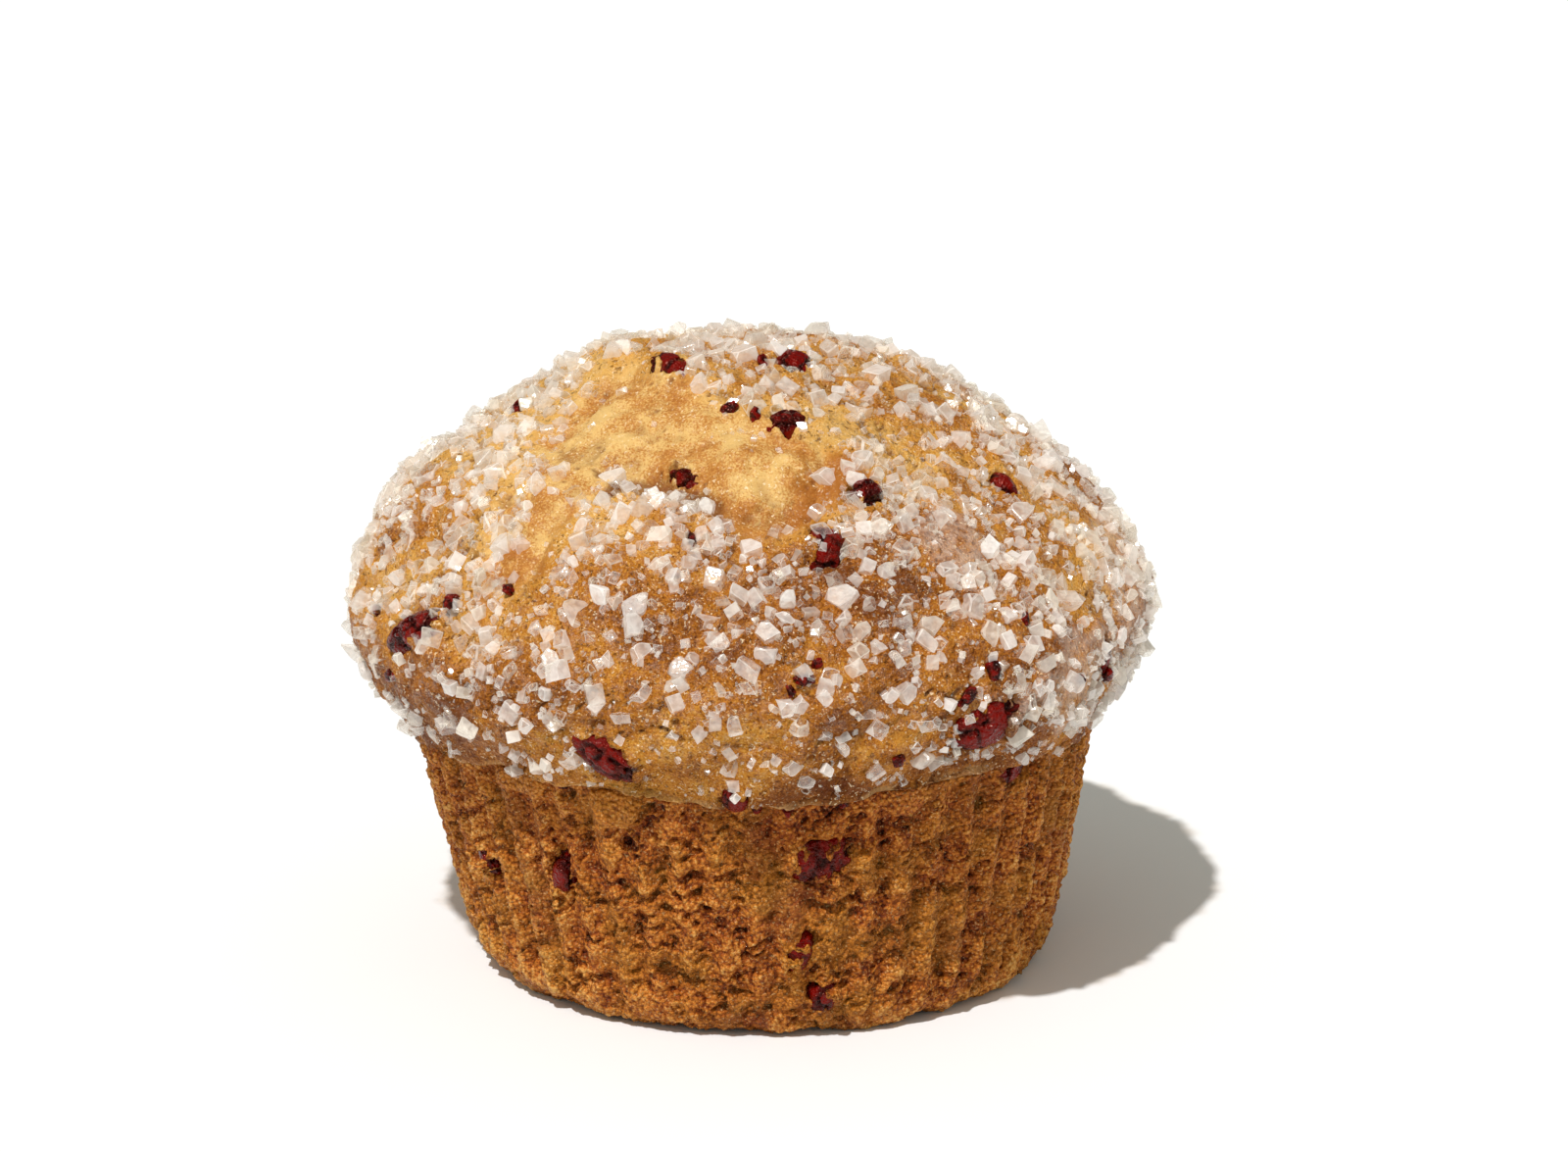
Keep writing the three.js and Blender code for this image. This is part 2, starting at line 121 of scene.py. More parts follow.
# Flaps of batter under the lip: azimuth in degrees, height, half width and half drop.
FLAPS = (
    (-113, 30.6, 3.4, 3.6), (-131, 31.4, 4.2, 2.2), (-64, 31.2, 3.8, 2.4), (-12, 30.8, 3.0, 3.2),
    (38, 31.3, 4.0, 2.2), (97, 30.6, 3.6, 3.4), (152, 31.2, 4.4, 2.4),
)

# Patches where sugar has melted to a pale film: azimuth, height, half width and half height.
FILMS = (
    (-37, 43.5, 15, 5.5), (-12, 51, 10, 9), (-52, 62, 5, 4), (-103, 67, 5, 4), (72, 43, 13, 5),
    (128, 57, 9, 7), (20, 68, 6, 5),
)

# Places where small crystals lie close together, in the same numbers.
CLUSTERS = (
    (-37, 42.5, 13, 4.5), (-60, 62, 6, 4.5), (-100, 66, 6, 4), (72, 42, 10, 4), (150, 52, 8, 6),
)

# Small bits of cranberry in the crumb: azimuth in degrees, height and size in millimetres.
FLECKS = (
    (-99, 62.4, 0.8), (-130, 56.1, 1.0), (-82, 48.9, 1.1), (-80, 50.5, 0.9), (-84, 47.6, 0.7),
    (-68, 38.1, 1.1), (-93, 73.3, 1.0), (-139, 53.0, 1.3), (-151, 42.2, 1.0), (-122, 26.8, 0.9),
    (-75, 17.3, 1.2), (-89, 21.0, 0.8), (-101, 58.8, 0.6), (-46, 52.0, 0.8), (-28, 41.8, 1.2),
    (-159, 48.2, 1.0), (-58, 45.1, 1.3), (-84, 18.2, 1.0), (-67, 76.4, 0.9), (-84, 72.5, 1.0),
    (-147, 19.0, 1.0), (-54, 47.8, 1.2), (-38, 44.0, 0.8), (20, 51.0, 0.9), (63, 44.0, 1.1),
    (118, 58.0, 1.0), (150, 43.0, 0.8), (172, 61.0, 1.1), (30, 66.0, 0.8), (85, 69.0, 1.0),
    (12, 27.0, 0.9), (70, 14.0, 1.1), (105, 24.0, 0.9), (160, 21.0, 1.0), (-170, 13.0, 0.8),
)

# The three kinds of sugar. Scatter: how many places are tried, the smallest and largest size, how
# close the crystals may lie, how far their middles stand off the crust in shares of their size, how
# far they lean, and how much they flock. Shapes: how many there are, how many corners are cut off
# each, and how wide its chamfers are. Milk: the share of white in the clearest and the milkiest.
SUGARS = {
    "sugar_coarse": dict(
        scatter=dict(
            tries=5600, sizes=(1.3, 2.5), closeness=0.56, standing=(-0.12, 0.24),
            lean=0.6, flock=0.3, seed=1001,
        ),
        shapes=dict(count=18, cuts=4, chamfer=0.07, seed=1011),
        milk=(0.08, 0.6),
        seed=1021,
    ),
    "sugar_medium": dict(
        scatter=dict(
            tries=9500, sizes=(0.75, 1.35), closeness=0.58, standing=(-0.1, 0.3),
            lean=0.9, flock=0.6, seed=1002,
        ),
        shapes=dict(count=12, cuts=2, chamfer=0.08, seed=1013),
        milk=(0.04, 0.48),
        seed=1022,
    ),
    "sugar_fine": dict(
        scatter=dict(
            tries=20000, sizes=(0.3, 0.75), closeness=0.55, standing=(-0.1, 0.4),
            lean=1.0, flock=0.95, seed=1003,
        ),
        shapes=dict(count=10, cuts=1, chamfer=0, seed=1012),
        milk=(0.02, 0.42),
        seed=1023,
    ),
}
CRYSTAL_GRID = 3.0  # a step as wide as the largest crystal, to look up its neighbours

# The sun's direction, its strength, and its width in degrees.
SUN_FROM = (-10.2, -23, 45)
SUN_STRENGTH = 2.84
SUN_WIDTH = 1.6
SKY_COLOUR = (0.98, 0.99, 0.895, 1)
SKY_AT_HORIZON, SKY_OVERHEAD = 0.62, 0.3
SCREEN_FROM = (-0.3, -0.5, 0.8)
SCREEN_EDGE = (0.84, 0.92)
ROOM_MIRRORED, SCREEN_MIRRORED = 0.08, 2.6
FLOOR_REACH = 2.4

# The camera that fits the photograph: its place in metres, its tilt in radians, its lens in mm.
CAMERA_PLACE = (0.00384, -0.650, 0.2463)
CAMERA_TILT = 0.297
CAMERA_LENS = 126.2


# Numbers from 0 to 1 that are drawn from whole-number places, so that they are the same on each run.
# The large odd numbers only mix up the bits.
def hashed(cells, seed):
    x, y, z = cells.T
    value = (x * 374761393 + y * 668265263 + z * 2147483647 + seed * 974634777) & 0xFFFFFFFF
    value = ((value ^ (value >> 13)) * 1274126177) & 0xFFFFFFFF
    value = ((value ^ (value >> 16)) * 2246822519) & 0xFFFFFFFF
    return (value ^ (value >> 15)).astype(np.float64) / 0xFFFFFFFF


# Smooth noise from -1 to 1 whose bumps are about size millimetres apart.
def noise(points, size, seed):
    place = points / size
    cell = np.floor(place).astype(np.int64)
    part = place - cell
    part = part * part * part * (part * (part * 6 - 15) + 10)
    total = np.zeros(len(points))
    for corner in product((0, 1), repeat=3):
        weight = np.where(corner, part, 1 - part).prod(axis=1)
        total += weight * hashed(cell + corner, seed)
    return total * 2 - 1


# Noise with finer and finer bumps on top.
def rough_noise(points, size, seed, octaves=3, fade=0.55):
    total = np.zeros(len(points))
    strength = 1.0
    for octave in range(octaves):
        total += strength * noise(points, size / 2**octave, seed + octave)
        strength *= fade
    return total


# Distance to the nearest of scattered points, in shares of size, as in granules or pores.
def cell_distance(points, size, seed):
    place = points / size
    cell = np.floor(place).astype(np.int64)
    nearest = np.full(len(points), 9.0)
    for step in NEIGHBOURS:
        near = cell + step
        inside = np.column_stack([hashed(near, seed + k) for k in range(3)])
        nearest = np.minimum(nearest, ((near + inside - place) ** 2).sum(axis=1))
    return np.sqrt(nearest)


# Round granules: 1 in their middles, 0 between them.
def granules(points, size, seed):
    return 1 - np.minimum(cell_distance(points, size, seed), 1) ** 2


def smoothstep(low, high, value):
    share = np.clip((value - low) / (high - low), 0.0, 1.0)
    return share * share * (3 - 2 * share)


def mix(first, second, share):
    return first + (second - first) * share


def unit(vectors):
    return vectors / np.maximum(np.linalg.norm(vectors, axis=1, keepdims=True), 1e-12)


# The outline from the floor to the crown: radius and height at fine steps, with the length so far.
def trace_outline():
    turn = np.linspace(0, math.pi / 2, ARC_STEPS + 1)
    foot = np.column_stack([
        FOOT_RADIUS - FOOT_EDGE_WIDTH * (1 - np.sin(turn)),
        FOOT_EDGE_HEIGHT * (1 - np.cos(turn)),
    ])
    lip_radius = COLLAR_RADIUS + LIP_OVERHANG
    collar = [[COLLAR_RADIUS, COLLAR_HEIGHT], [lip_radius, COLLAR_HEIGHT + LIP_RISE / 2]]
    turn = turn[1:]
    flare_rise = CAP_WIDEST_HEIGHT - COLLAR_HEIGHT - LIP_RISE
    flare = np.column_stack([
        lip_radius + (CAP_RADIUS - lip_radius) * np.sin(turn) ** FLARE_POWER,
        CAP_WIDEST_HEIGHT - flare_rise * np.cos(turn),
    ])
    dome = np.column_stack([
        CAP_RADIUS * np.maximum(0, 1 - np.sin(turn) ** DOME_POWER_UP) ** (1 / DOME_POWER_OUT),
        CAP_WIDEST_HEIGHT + (CROWN_HEIGHT - CAP_WIDEST_HEIGHT) * np.sin(turn),
    ])
    points = np.vstack([foot, collar, flare, dome])
    steps = np.hypot(*np.diff(points, axis=0).T)
    return points, np.concatenate([[0], np.cumsum(steps)])


OUTLINE, OUTLINE_LENGTHS = trace_outline()
OUTLINE_END = OUTLINE_LENGTHS[-1]


def outline_radius(along):
    return np.interp(along, OUTLINE_LENGTHS, OUTLINE[:, 0])


def outline_height(along):
    return np.interp(along, OUTLINE_LENGTHS, OUTLINE[:, 1])


def along_at_height(height):
    return OUTLINE_LENGTHS[np.argmax(OUTLINE[:, 1] >= height)]


COLLAR_ALONG = along_at_height(COLLAR_HEIGHT)
LIP_ALONG = along_at_height(COLLAR_HEIGHT + LIP_RISE / 2)


# How far points seen from above lie outside an outline. It is negative inside.
def outside_of(outline, x, y):
    nearest = np.full(len(x), 1e9)
    inside = np.zeros(len(x), bool)
    for (ax, ay), (bx, by) in zip(outline, outline[1:] + outline[:1]):
        dx, dy = bx - ax, by - ay
        share = np.clip(((x - ax) * dx + (y - ay) * dy) / (dx * dx + dy * dy), 0, 1)
        nearest = np.minimum(nearest, np.hypot(x - ax - share * dx, y - ay - share * dy))
        crosses = (ay > y) != (by > y)
        slope = dx / dy if dy else 0.0
        inside ^= crosses & (x < ax + slope * (y - ay))
    return np.where(inside, -nearest, nearest)


# The solid has a step at the edge of the split. A soft edge rounds it off, as in the real crust.
def cap_relief(plain, soft_edge):
    x, y, z = plain.T
    rise = np.zeros(len(plain))
    for height, wave, turn in SWELLS:
        rise += height * np.sin(plain @ np.array(wave) + turn)
    outside = outside_of(SPLIT_OUTLINE, x, y)
    rim = SPLIT_RIM_RISE * np.exp(-np.maximum(outside, 0) / SPLIT_RIM_WIDTH)
    crevice = -SPLIT_CREVICE_DEPTH * np.exp(-((outside / SPLIT_CREVICE_WIDTH) ** 2))
    if soft_edge:
        out_of_split = smoothstep(-2.4, 2.0, outside + 1.1 * noise(plain, 5.0, 351))
        relief = mix(0.6 * crevice, rim, out_of_split)
    else:
        relief = np.where(outside > 0, rim, crevice)
    return rise + np.where(z < CAP_WIDEST_HEIGHT, 0, relief)


def around(azimuth, radius, height):
    return np.column_stack([radius * np.cos(azimuth), radius * np.sin(azimuth), height])


# 1 in front, 0 behind.
def towards_front(azimuth):
    return (1 - np.sin(azimuth)) / 2


def side_relief(azimuth, height):
    strength = 1 - (1 - FRONT_FLUTE_SHARE) * towards_front(azimuth) ** 3
    fade_at_foot = 0.35 + 0.65 * smoothstep(0, FOOT_EDGE_HEIGHT, height)
    return FLUTE_DEPTH * strength * fade_at_foot * 0.5 * (np.cos(FLUTES * azimuth) - 1)


def sideways(height):
    up_to_cap = smoothstep(0, CAP_WIDEST_HEIGHT, height)
    up_to_crown = smoothstep(CAP_WIDEST_HEIGHT, CROWN_HEIGHT, height)
    return mix(FOOT_SHIFT, CAP_SHIFT, up_to_cap) + (CROWN_SHIFT - CAP_SHIFT) * up_to_crown


def lip_wave(azimuth, height):
    up_to_lip = smoothstep(FOOT_EDGE_HEIGHT, COLLAR_HEIGHT, height)
    above_lip = smoothstep(COLLAR_HEIGHT + LIP_RISE, CAP_WIDEST_HEIGHT, height)
    return LIP_WAVE * np.sin(LIP_WAVES * azimuth) * up_to_lip * (1 - above_lip)


# Points of the solids' crust from their azimuth and their distance along the outline.
def crust_points(azimuth, along, soft_edge=False):
    radius, height = outline_radius(along), outline_height(along)
    slope = unit(np.column_stack([
        outline_radius(along + 0.5) - outline_radius(along - 0.5),
        outline_height(along + 0.5) - outline_height(along - 0.5),
    ]))
    cap_share = smoothstep(COLLAR_HEIGHT, COLLAR_HEIGHT + LIP_RISE, height)
    lobes = sum(share * np.cos(count * azimuth + turn) for count, share, turn in LOBES)
    radius = radius * (1 + mix(SIDE_LOBE_SHARE, 1, cap_share) * lobes)
    plain = around(azimuth, radius, height)
    relief = mix(side_relief(azimuth, height), cap_relief(plain, soft_edge), cap_share)
    on_side = height < COLLAR_HEIGHT
    reach = radius + relief * np.where(on_side, 1, slope[:, 1])
    lifted = height - relief * np.where(on_side, 0, slope[:, 0]) + lip_wave(azimuth, height)
    points = around(azimuth, reach, lifted)
    points[:, 0] += sideways(height)
    return points


def crust_normals(azimuth, along, step=0.8):
    here = crust_points(azimuth, along)
    turn = step / np.maximum(outline_radius(along), 1)
    beside = crust_points(azimuth + turn, along) - here
    above = crust_points(azimuth, along + step) - here
    return unit(np.cross(beside, above))


# Where each cranberry node lies: its middle, its three axes and its half sizes, in millimetres.
def find_berries(offset):
    places = {}
    for name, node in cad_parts.items():
        if not name.startswith("cranberry_"):
            continue
        points = np.unique(np.round(node_points(node), 4), axis=0) - offset
        middle = (points.min(0) + points.max(0)) / 2
        axes = np.linalg.eigh(np.cov((points - middle).T))[1].T[::-1]
        axes[2] = np.cross(axes[0], axes[1])
        reach = (points - middle) @ axes.T
        middle = middle + ((reach.min(0) + reach.max(0)) / 2) @ axes
        places[name] = (middle, axes, (reach.max(0) - reach.min(0)) / 2)
    return places


def node_points(node):
    points = np.empty(len(node.data.vertices) * 3)
    node.data.vertices.foreach_get("co", points)
    return points.reshape(-1, 3) / MM


# The solids are centred on their box, and the rules above on the cap's axis. This is the difference.
def find_offset():
    solid = node_points(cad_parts["muffin"])
    solid = solid[solid[:, 2] < 0.01]
    azimuth = np.arange(2 * FLUTES) * math.pi / FLUTES
    rule = crust_points(azimuth, np.zeros(2 * FLUTES))
    return (solid.min(0) + solid.max(0) - rule.min(0) - rule.max(0)) / 2 * np.array([1, 1, 0])


OFFSET = find_offset()
BERRIES = find_berries(OFFSET)

# How far crumb points lie from the nearest cranberry: 1 is on its surface, 0 in its middle.
def berry_distance(points):
    nearest = np.full(len(points), 9.0)
    for middle, axes, half in BERRIES.values():
        close = np.flatnonzero(np.linalg.norm(points - middle, axis=1) < half[0] + 4)
        reach = np.linalg.norm((points[close] - middle) @ axes.T / half, axis=1)
        nearest[close] = np.minimum(nearest[close], reach)
    return nearest


# The crumb gives way under each cranberry, rises at its edge and clings to it in places.
def berry_relief(points):
    distance = berry_distance(points)
    warped = distance + 0.5 * noise(points, 2.3, 301) + 0.26 * noise(points, 0.9, 302)
    under = 1 - smoothstep(0.86, 1.12, warped)
    edge = np.exp(-(((warped - 1.24) / 0.2) ** 2)) * smoothstep(-0.5, 0.3, noise(points, 3.3, 304))
    cover = noise(points, 1.6, 303) + 0.5 * noise(points, 0.8, 306)
    cling = smoothstep(0.3, 0.46, cover) * (1 - smoothstep(0.95, 1.2, distance))
    rise = mix(-1.2 * under + 0.5 * edge, 1.1 + 0.5 * noise(points, 0.9, 305), cling)
    return rise, under * (1 - cling)


# Oval patches on the crust, as a share from 0 outside them to 1 in their middles.
def patch_share(patches, azimuth, height, radius):
    share = np.zeros(len(azimuth))
    for middle, level, half_width, half_height in patches:
        away = (azimuth - math.radians(middle) + math.pi) % (2 * math.pi) - math.pi
        reach = np.hypot(away * radius / half_width, (height - level) / half_height)
        share = np.maximum(share, 1 - smoothstep(0.72, 1.0, reach))
    return share


def ragged_share(patches, points, azimuth, along):
    height = outline_height(along) + 3.0 * noise(points, 5.0, 321) + 1.5 * noise(points, 1.8, 322)
    return patch_share(patches, azimuth, height, outline_radius(along))


# The baked side: grains in clusters, tears, brown skin left by the paper case, and flutes.
def side_texture(points, azimuth, height):
    warp = np.column_stack([noise(points, 1.7, seed) for seed in (401, 402, 403)])
    wavy = points + 0.5 * warp
    granule = granules(wavy, SIDE_GRAIN, 411)
    fine = granules(wavy, SIDE_FINE_GRAIN, 421)
    cluster = rough_noise(wavy, SIDE_CLUSTER, 431)
    streaked = points * np.array([1, 1, 0.2])
    streak = noise(streaked, STREAK_WIDTH, 441) + 0.6 * noise(streaked, 1.2, 442)
    tall = points * np.array([1, 1, 0.45])
    skin = smoothstep(0.45, 0.9, rough_noise(tall, SKIN_PATCH, 451))
    flat = (points + 0.9 * warp) * np.array([1, 1, 1.8])
    tear = 1 - smoothstep(0.12, 0.3, cell_distance(flat, TEAR_SPACING, 461))
    hole = smoothstep(0.42, 0.75, rough_noise(flat, HOLE_SIZE, 471, 2))
    sides = 1 - towards_front(azimuth) ** 3 * 0.6
    relief = 0.42 * (granule - 0.68) + 0.34 * (fine - 0.65)
    relief = relief * (1 - 0.3 * skin) + 0.26 * cluster + 0.26 * streak * sides
    relief -= (0.6 * tear + 0.7 * hole) * (1 - 0.4 * skin)
    crest = np.cos(FLUTES * azimuth + 0.8 * noise(streaked, 6.0, 481)) * smoothstep(1, 9, height)
    near_foot = 1 - smoothstep(3, 9, height)
    relief += 0.58 * crest * sides + 0.5 * noise(points, 4.0, 482) * near_foot
    flap = patch_share(FLAPS, azimuth, height, COLLAR_RADIUS)
    relief = mix(relief, 0.75 + 0.12 * cluster, flap)
    rise, bare = berry_relief(points)
    relief = relief * (1 - 0.6 * bare) + rise
    # Lightness for the colour, with painted shade: raised crumb and the middles of granules are
    # lighter, pits, tears, holes and the gaps between granules darker.
    light = 0.56 + 0.42 * (relief - rise) + 0.16 * (granule - 0.68) + 0.24 * (fine - 0.65)
    # Painted light: lighter on the left, which faces the sun. The crest term tones down the painted
    # shade of the flute grooves a little.
    light += 0.05 * smoothstep(0, -25, points[:, 0]) - 0.12 * crest * sides
    # Painted shade under the lip's overhang; lighter near the foot.
    light += 0.06 * (1 - smoothstep(0, 16, height)) - 0.05 * smoothstep(24, 32, height)
    light = np.clip(mix(light, 0.62, 0.8 * flap), 0, 1)
    return relief, {"light": light, "skin": skin * (1 - flap)}


# The cap: low crags, grain and pores. Only the bottom of the split has a sharp crevice.
def cap_texture(points, plain, along):
    outside = outside_of(SPLIT_OUTLINE, plain[:, 0], plain[:, 1])
    outside = np.where(plain[:, 2] < CAP_WIDEST_HEIGHT, 20.0, outside)
    torn = outside + 1.2 * noise(points, 4.2, 501) + 0.6 * noise(points, 1.6, 502)
    valley = 1 - smoothstep(-1.2, 1.6, torn)
    crags = 0.5 * rough_noise(points, CRAG_SIZE, 511, 2)
    crags += 0.34 * rough_noise(points, SMALL_CRAG_SIZE, 521)
    creased = points @ np.array([[1, 0.3, 0], [-0.3, 0.55, 0], [0, 0, 0.7]])
    soft = 1.25 * np.abs(rough_noise(creased, CREASE_SIZE, 531, 2)) - 0.4
    soft += 0.34 * rough_noise(points, 2.4, 541)
    grain = granules(points, CAP_GRAIN, 571)
    pore = 1 - smoothstep(0.1, 0.3, cell_distance(points, PORE_SPACING, 551))
    pore = pore * smoothstep(-0.2, 0.4, noise(points, 4.0, 561))
    crack = 1 - smoothstep(0.02, 0.13, np.abs(rough_noise(points, CRACK_SPACING, 611)))
    crack = crack * smoothstep(0.0, 0.35, noise(points, 5.5, 621)) * (1 - 0.7 * valley)
    from_crevice = np.hypot(plain[:, 0] + 8, plain[:, 1] + 28.5)
    crevice = np.exp(-((torn / 0.9) ** 2)) * (1 - smoothstep(5, 10, from_crevice))
    relief = mix(crags, soft, valley) + 0.32 * (grain - 0.7)
    relief -= 0.4 * pore * (1 - 0.6 * valley) + 0.55 * crack + 1.5 * crevice
    azimuth = np.arctan2(plain[:, 1], plain[:, 0])
    film = ragged_share(FILMS, points, azimuth, along) * (1 - valley)
    relief = mix(relief, 0.35 + 0.5 * relief + 0.12 * noise(points, 0.9, 581), 0.7 * film)
    rise, bare = berry_relief(points)
    x, _, z = plain.T
    # How brown the crust is: browner on crags and in random patches.
    bake_and_painted_shade = 0.6 + 0.24 * rough_noise(points, BAKE_PATCH, 591) + 0.2 * (relief + 0.1)
    # Painted light and shade: paler towards the crown, browner to the right, away from the sun, and
    # paler on the low left and the upper right. It is also paler near the split.
    bake_and_painted_shade -= 0.3 * smoothstep(56, 72, z) + 0.22 * np.exp(-np.maximum(outside, 0) / 4)
    bake_and_painted_shade += 0.1 * smoothstep(-20, 20, x)
    bake_and_painted_shade -= 0.22 * smoothstep(-8, -30, x) * smoothstep(43, 52, z)
    bake_and_painted_shade -= 0.18 * smoothstep(18, 34, x) * smoothstep(46, 56, z)
    facts = {
        "valley": valley,
        "bake_and_painted_shade": np.clip(bake_and_painted_shade, 0, 1),
        # Painted shade in low places, pores, cracks and the crevice.
        "cavity_shade": np.clip(0.36 - 0.6 * relief + 0.5 * pore + 0.35 * crack + crevice, 0, 1),
        "film": film * (1 - bare),
        "gloss": smoothstep(COLLAR_HEIGHT, COLLAR_HEIGHT + 13, z),
        "lip": 1 - smoothstep(0.1, 1.0, along - LIP_ALONG),
    }
    return relief * (1 - 0.6 * bare) + rise, facts


# The outward direction of the plain outline, along which the crumb's texture is raised.
def plain_normals(azimuth, along):
    rise = outline_height(along + 0.5) - outline_height(along - 0.5)
    run = outline_radius(along + 0.5) - outline_radius(along - 0.5)
    length = np.maximum(np.hypot(rise, run), 1e-9)
    return around(azimuth, rise / length, -run / length)


# Points of the textured side, with the facts its material needs.
def side_surface(azimuth, along):
    points = crust_points(azimuth, along, soft_edge=True)
    height = outline_height(along)
    relief, facts = side_texture(points, azimuth, height)
    relief *= mix(0.45, 1, smoothstep(0, 2, COLLAR_HEIGHT - height))
    points = points + plain_normals(azimuth, along) * relief[:, None]
    points[:, 2] = np.maximum(points[:, 2], 0)
    facts["height"] = height / COLLAR_HEIGHT
    return points, facts


# Points of the textured cap, with the facts its material needs.
def cap_surface(azimuth, along):
    points = crust_points(azimuth, along, soft_edge=True)
    plain = around(azimuth, outline_radius(along), outline_height(along))
    relief, facts = cap_texture(points, plain, along)
    wave = around(azimuth, COLLAR_RADIUS, 0 * azimuth)
    lip = facts["lip"]
    points = points + plain_normals(azimuth, along) * (relief * (1 - 0.3 * lip))[:, None]
    points[:, 2] += lip * (0.45 * noise(wave, 5.5, 601) + 0.25 * noise(wave, 2.1, 602))
    outward = unit(wave) * (lip * (0.35 * noise(wave, 4.1, 603) + 0.2))[:, None]
    return points + outward, facts


# Triangles between two neighbouring rings of points, whose counts are equal or halve or double.
def band(lower, lower_count, upper, upper_count):
    def below(k):
        return lower + k % lower_count

    def above(k):
        return upper + k % upper_count

    i = np.arange(max(lower_count, upper_count))
    half = np.arange(len(i) // 2)
    if lower_count == upper_count:
        corners = (below(i), below(i + 1), above(i + 1)), (below(i), above(i + 1), above(i))
    elif lower_count > upper_count:
        corners = (
            (below(i), below(i + 1), above((i + 1) // 2)),
            (below(2 * half + 1), above(half + 1), above(half)),
        )
    else:
        corners = (
            (below((i + 1) // 2), above(i + 1), above(i)),
            (below(half), below(half + 1), above(2 * half + 1)),
        )
    return np.vstack([np.column_stack(kind) for kind in corners])


# Joins rings of points from the first to the last, with a point closing each end.
def closed_rings(rings, first_point, last_point):
    points = np.vstack([[first_point], *rings, [last_point]])
    starts = 1 + np.concatenate([[0], np.cumsum([len(ring) for ring in rings])])
    triangles = []
    for k in range(len(rings) - 1):
        triangles.append(band(starts[k], len(rings[k]), starts[k + 1], len(rings[k + 1])))
    i = np.arange(len(rings[0]))
    triangles.append(np.column_stack([0 * i, 1 + (i + 1) % len(i), 1 + i]))
    i = np.arange(len(rings[-1]))
    start = starts[-2]
    end = np.full(len(i), len(points) - 1)
    triangles.append(np.column_stack([start + i, start + (i + 1) % len(i), end]))
    return points, np.vstack(triangles)


def add_object(name, data):
    added = bpy.data.objects.new(name, data)
    bpy.context.scene.collection.objects.link(added)
    return added


# A mesh object from points in millimetres and triangles, with one number a point for each fact.
def make_piece(name, points, triangles, facts, material, smooth=True):
    mesh = bpy.data.meshes.new(name)
    mesh.vertices.add(len(points))
    mesh.vertices.foreach_set("co", ((points + OFFSET) * MM).astype(np.float32).ravel())
    mesh.loops.add(triangles.size)
    mesh.loops.foreach_set("vertex_index", triangles.astype(np.int32).ravel())
    mesh.polygons.add(len(triangles))
    mesh.polygons.foreach_set("loop_start", np.arange(0, triangles.size, 3, dtype=np.int32))
    mesh.update(calc_edges=True)
    mesh.polygons.foreach_set("use_smooth", np.full(len(triangles), smooth))
    for fact, values in facts.items():
        layer = mesh.attributes.new(fact, "FLOAT", "POINT")
        layer.data.foreach_set("value", values.astype(np.float32))
    mesh.materials.append(material)
    piece = add_object(name, mesh)
    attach(piece, "root")
    return piece


def ring_azimuths(count):
    return np.arange(count) * 2 * math.pi / count


def flat_ring(radius, height, count):
    return around(ring_azimuths(count), radius, np.full(count, height))


# Surfaces are worked out for all rings at once, because each call is slow for a few points.
def textured_rings(counts, places, surface):
    azimuth = np.concatenate([ring_azimuths(count) for count in counts])
    points, facts = surface(azimuth, np.repeat(places, counts))
    return np.split(points, np.cumsum(counts)[:-1]), facts


def with_ends(facts, before, after):
    return {
        fact: np.concatenate([np.full(before, values[0]), values, np.full(after, values[-1])])
        for fact, values in facts.items()
    }


# The underside of the muffin: the same crumb, pressed flat on the floor.
def foot_surface(azimuth, radius):
    share = radius / FOOT_FLAT_RADIUS
    centre = np.array([FOOT_SHIFT, 0, 0])
    points = centre + (crust_points(azimuth, 0 * azimuth) - centre) * share[:, None]
    relief, facts = side_texture(points, azimuth, 0 * azimuth)
    points[:, 2] = np.clip(-0.7 * relief, 0, 1.1) * smoothstep(1, 0.93, share)
    facts["height"] = 0 * azimuth
    return points, facts


def make_side(material):
    foot_radii = np.linspace(0, FOOT_FLAT_RADIUS, FOOT_RINGS + 2)[1:-1]
    foot_counts = [SIDE_COLUMNS // (8 if r < 7 else 4 if r < 14 else 2) for r in foot_radii]
    foot_rings, foot_facts = textured_rings(foot_counts, foot_radii, foot_surface)
    alongs = np.linspace(0, COLLAR_ALONG, SIDE_ROWS)
    wall_rings, wall_facts = textured_rings([SIDE_COLUMNS] * SIDE_ROWS, alongs, side_surface)
    top = [flat_ring(COLLAR_RADIUS - 1.2, COLLAR_HEIGHT + 1, SIDE_COLUMNS // 2)]
    rings = foot_rings + wall_rings + top
    points, triangles = closed_rings(rings, [FOOT_SHIFT, 0, 0], [0, 0, COLLAR_HEIGHT + 1.5])
    facts = {fact: np.concatenate([foot_facts[fact], wall_facts[fact]]) for fact in wall_facts}
    facts = with_ends(facts, 1, 1 + SIDE_COLUMNS // 2)
    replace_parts(make_piece("crumb_side", points, triangles, facts, material), "muffin")


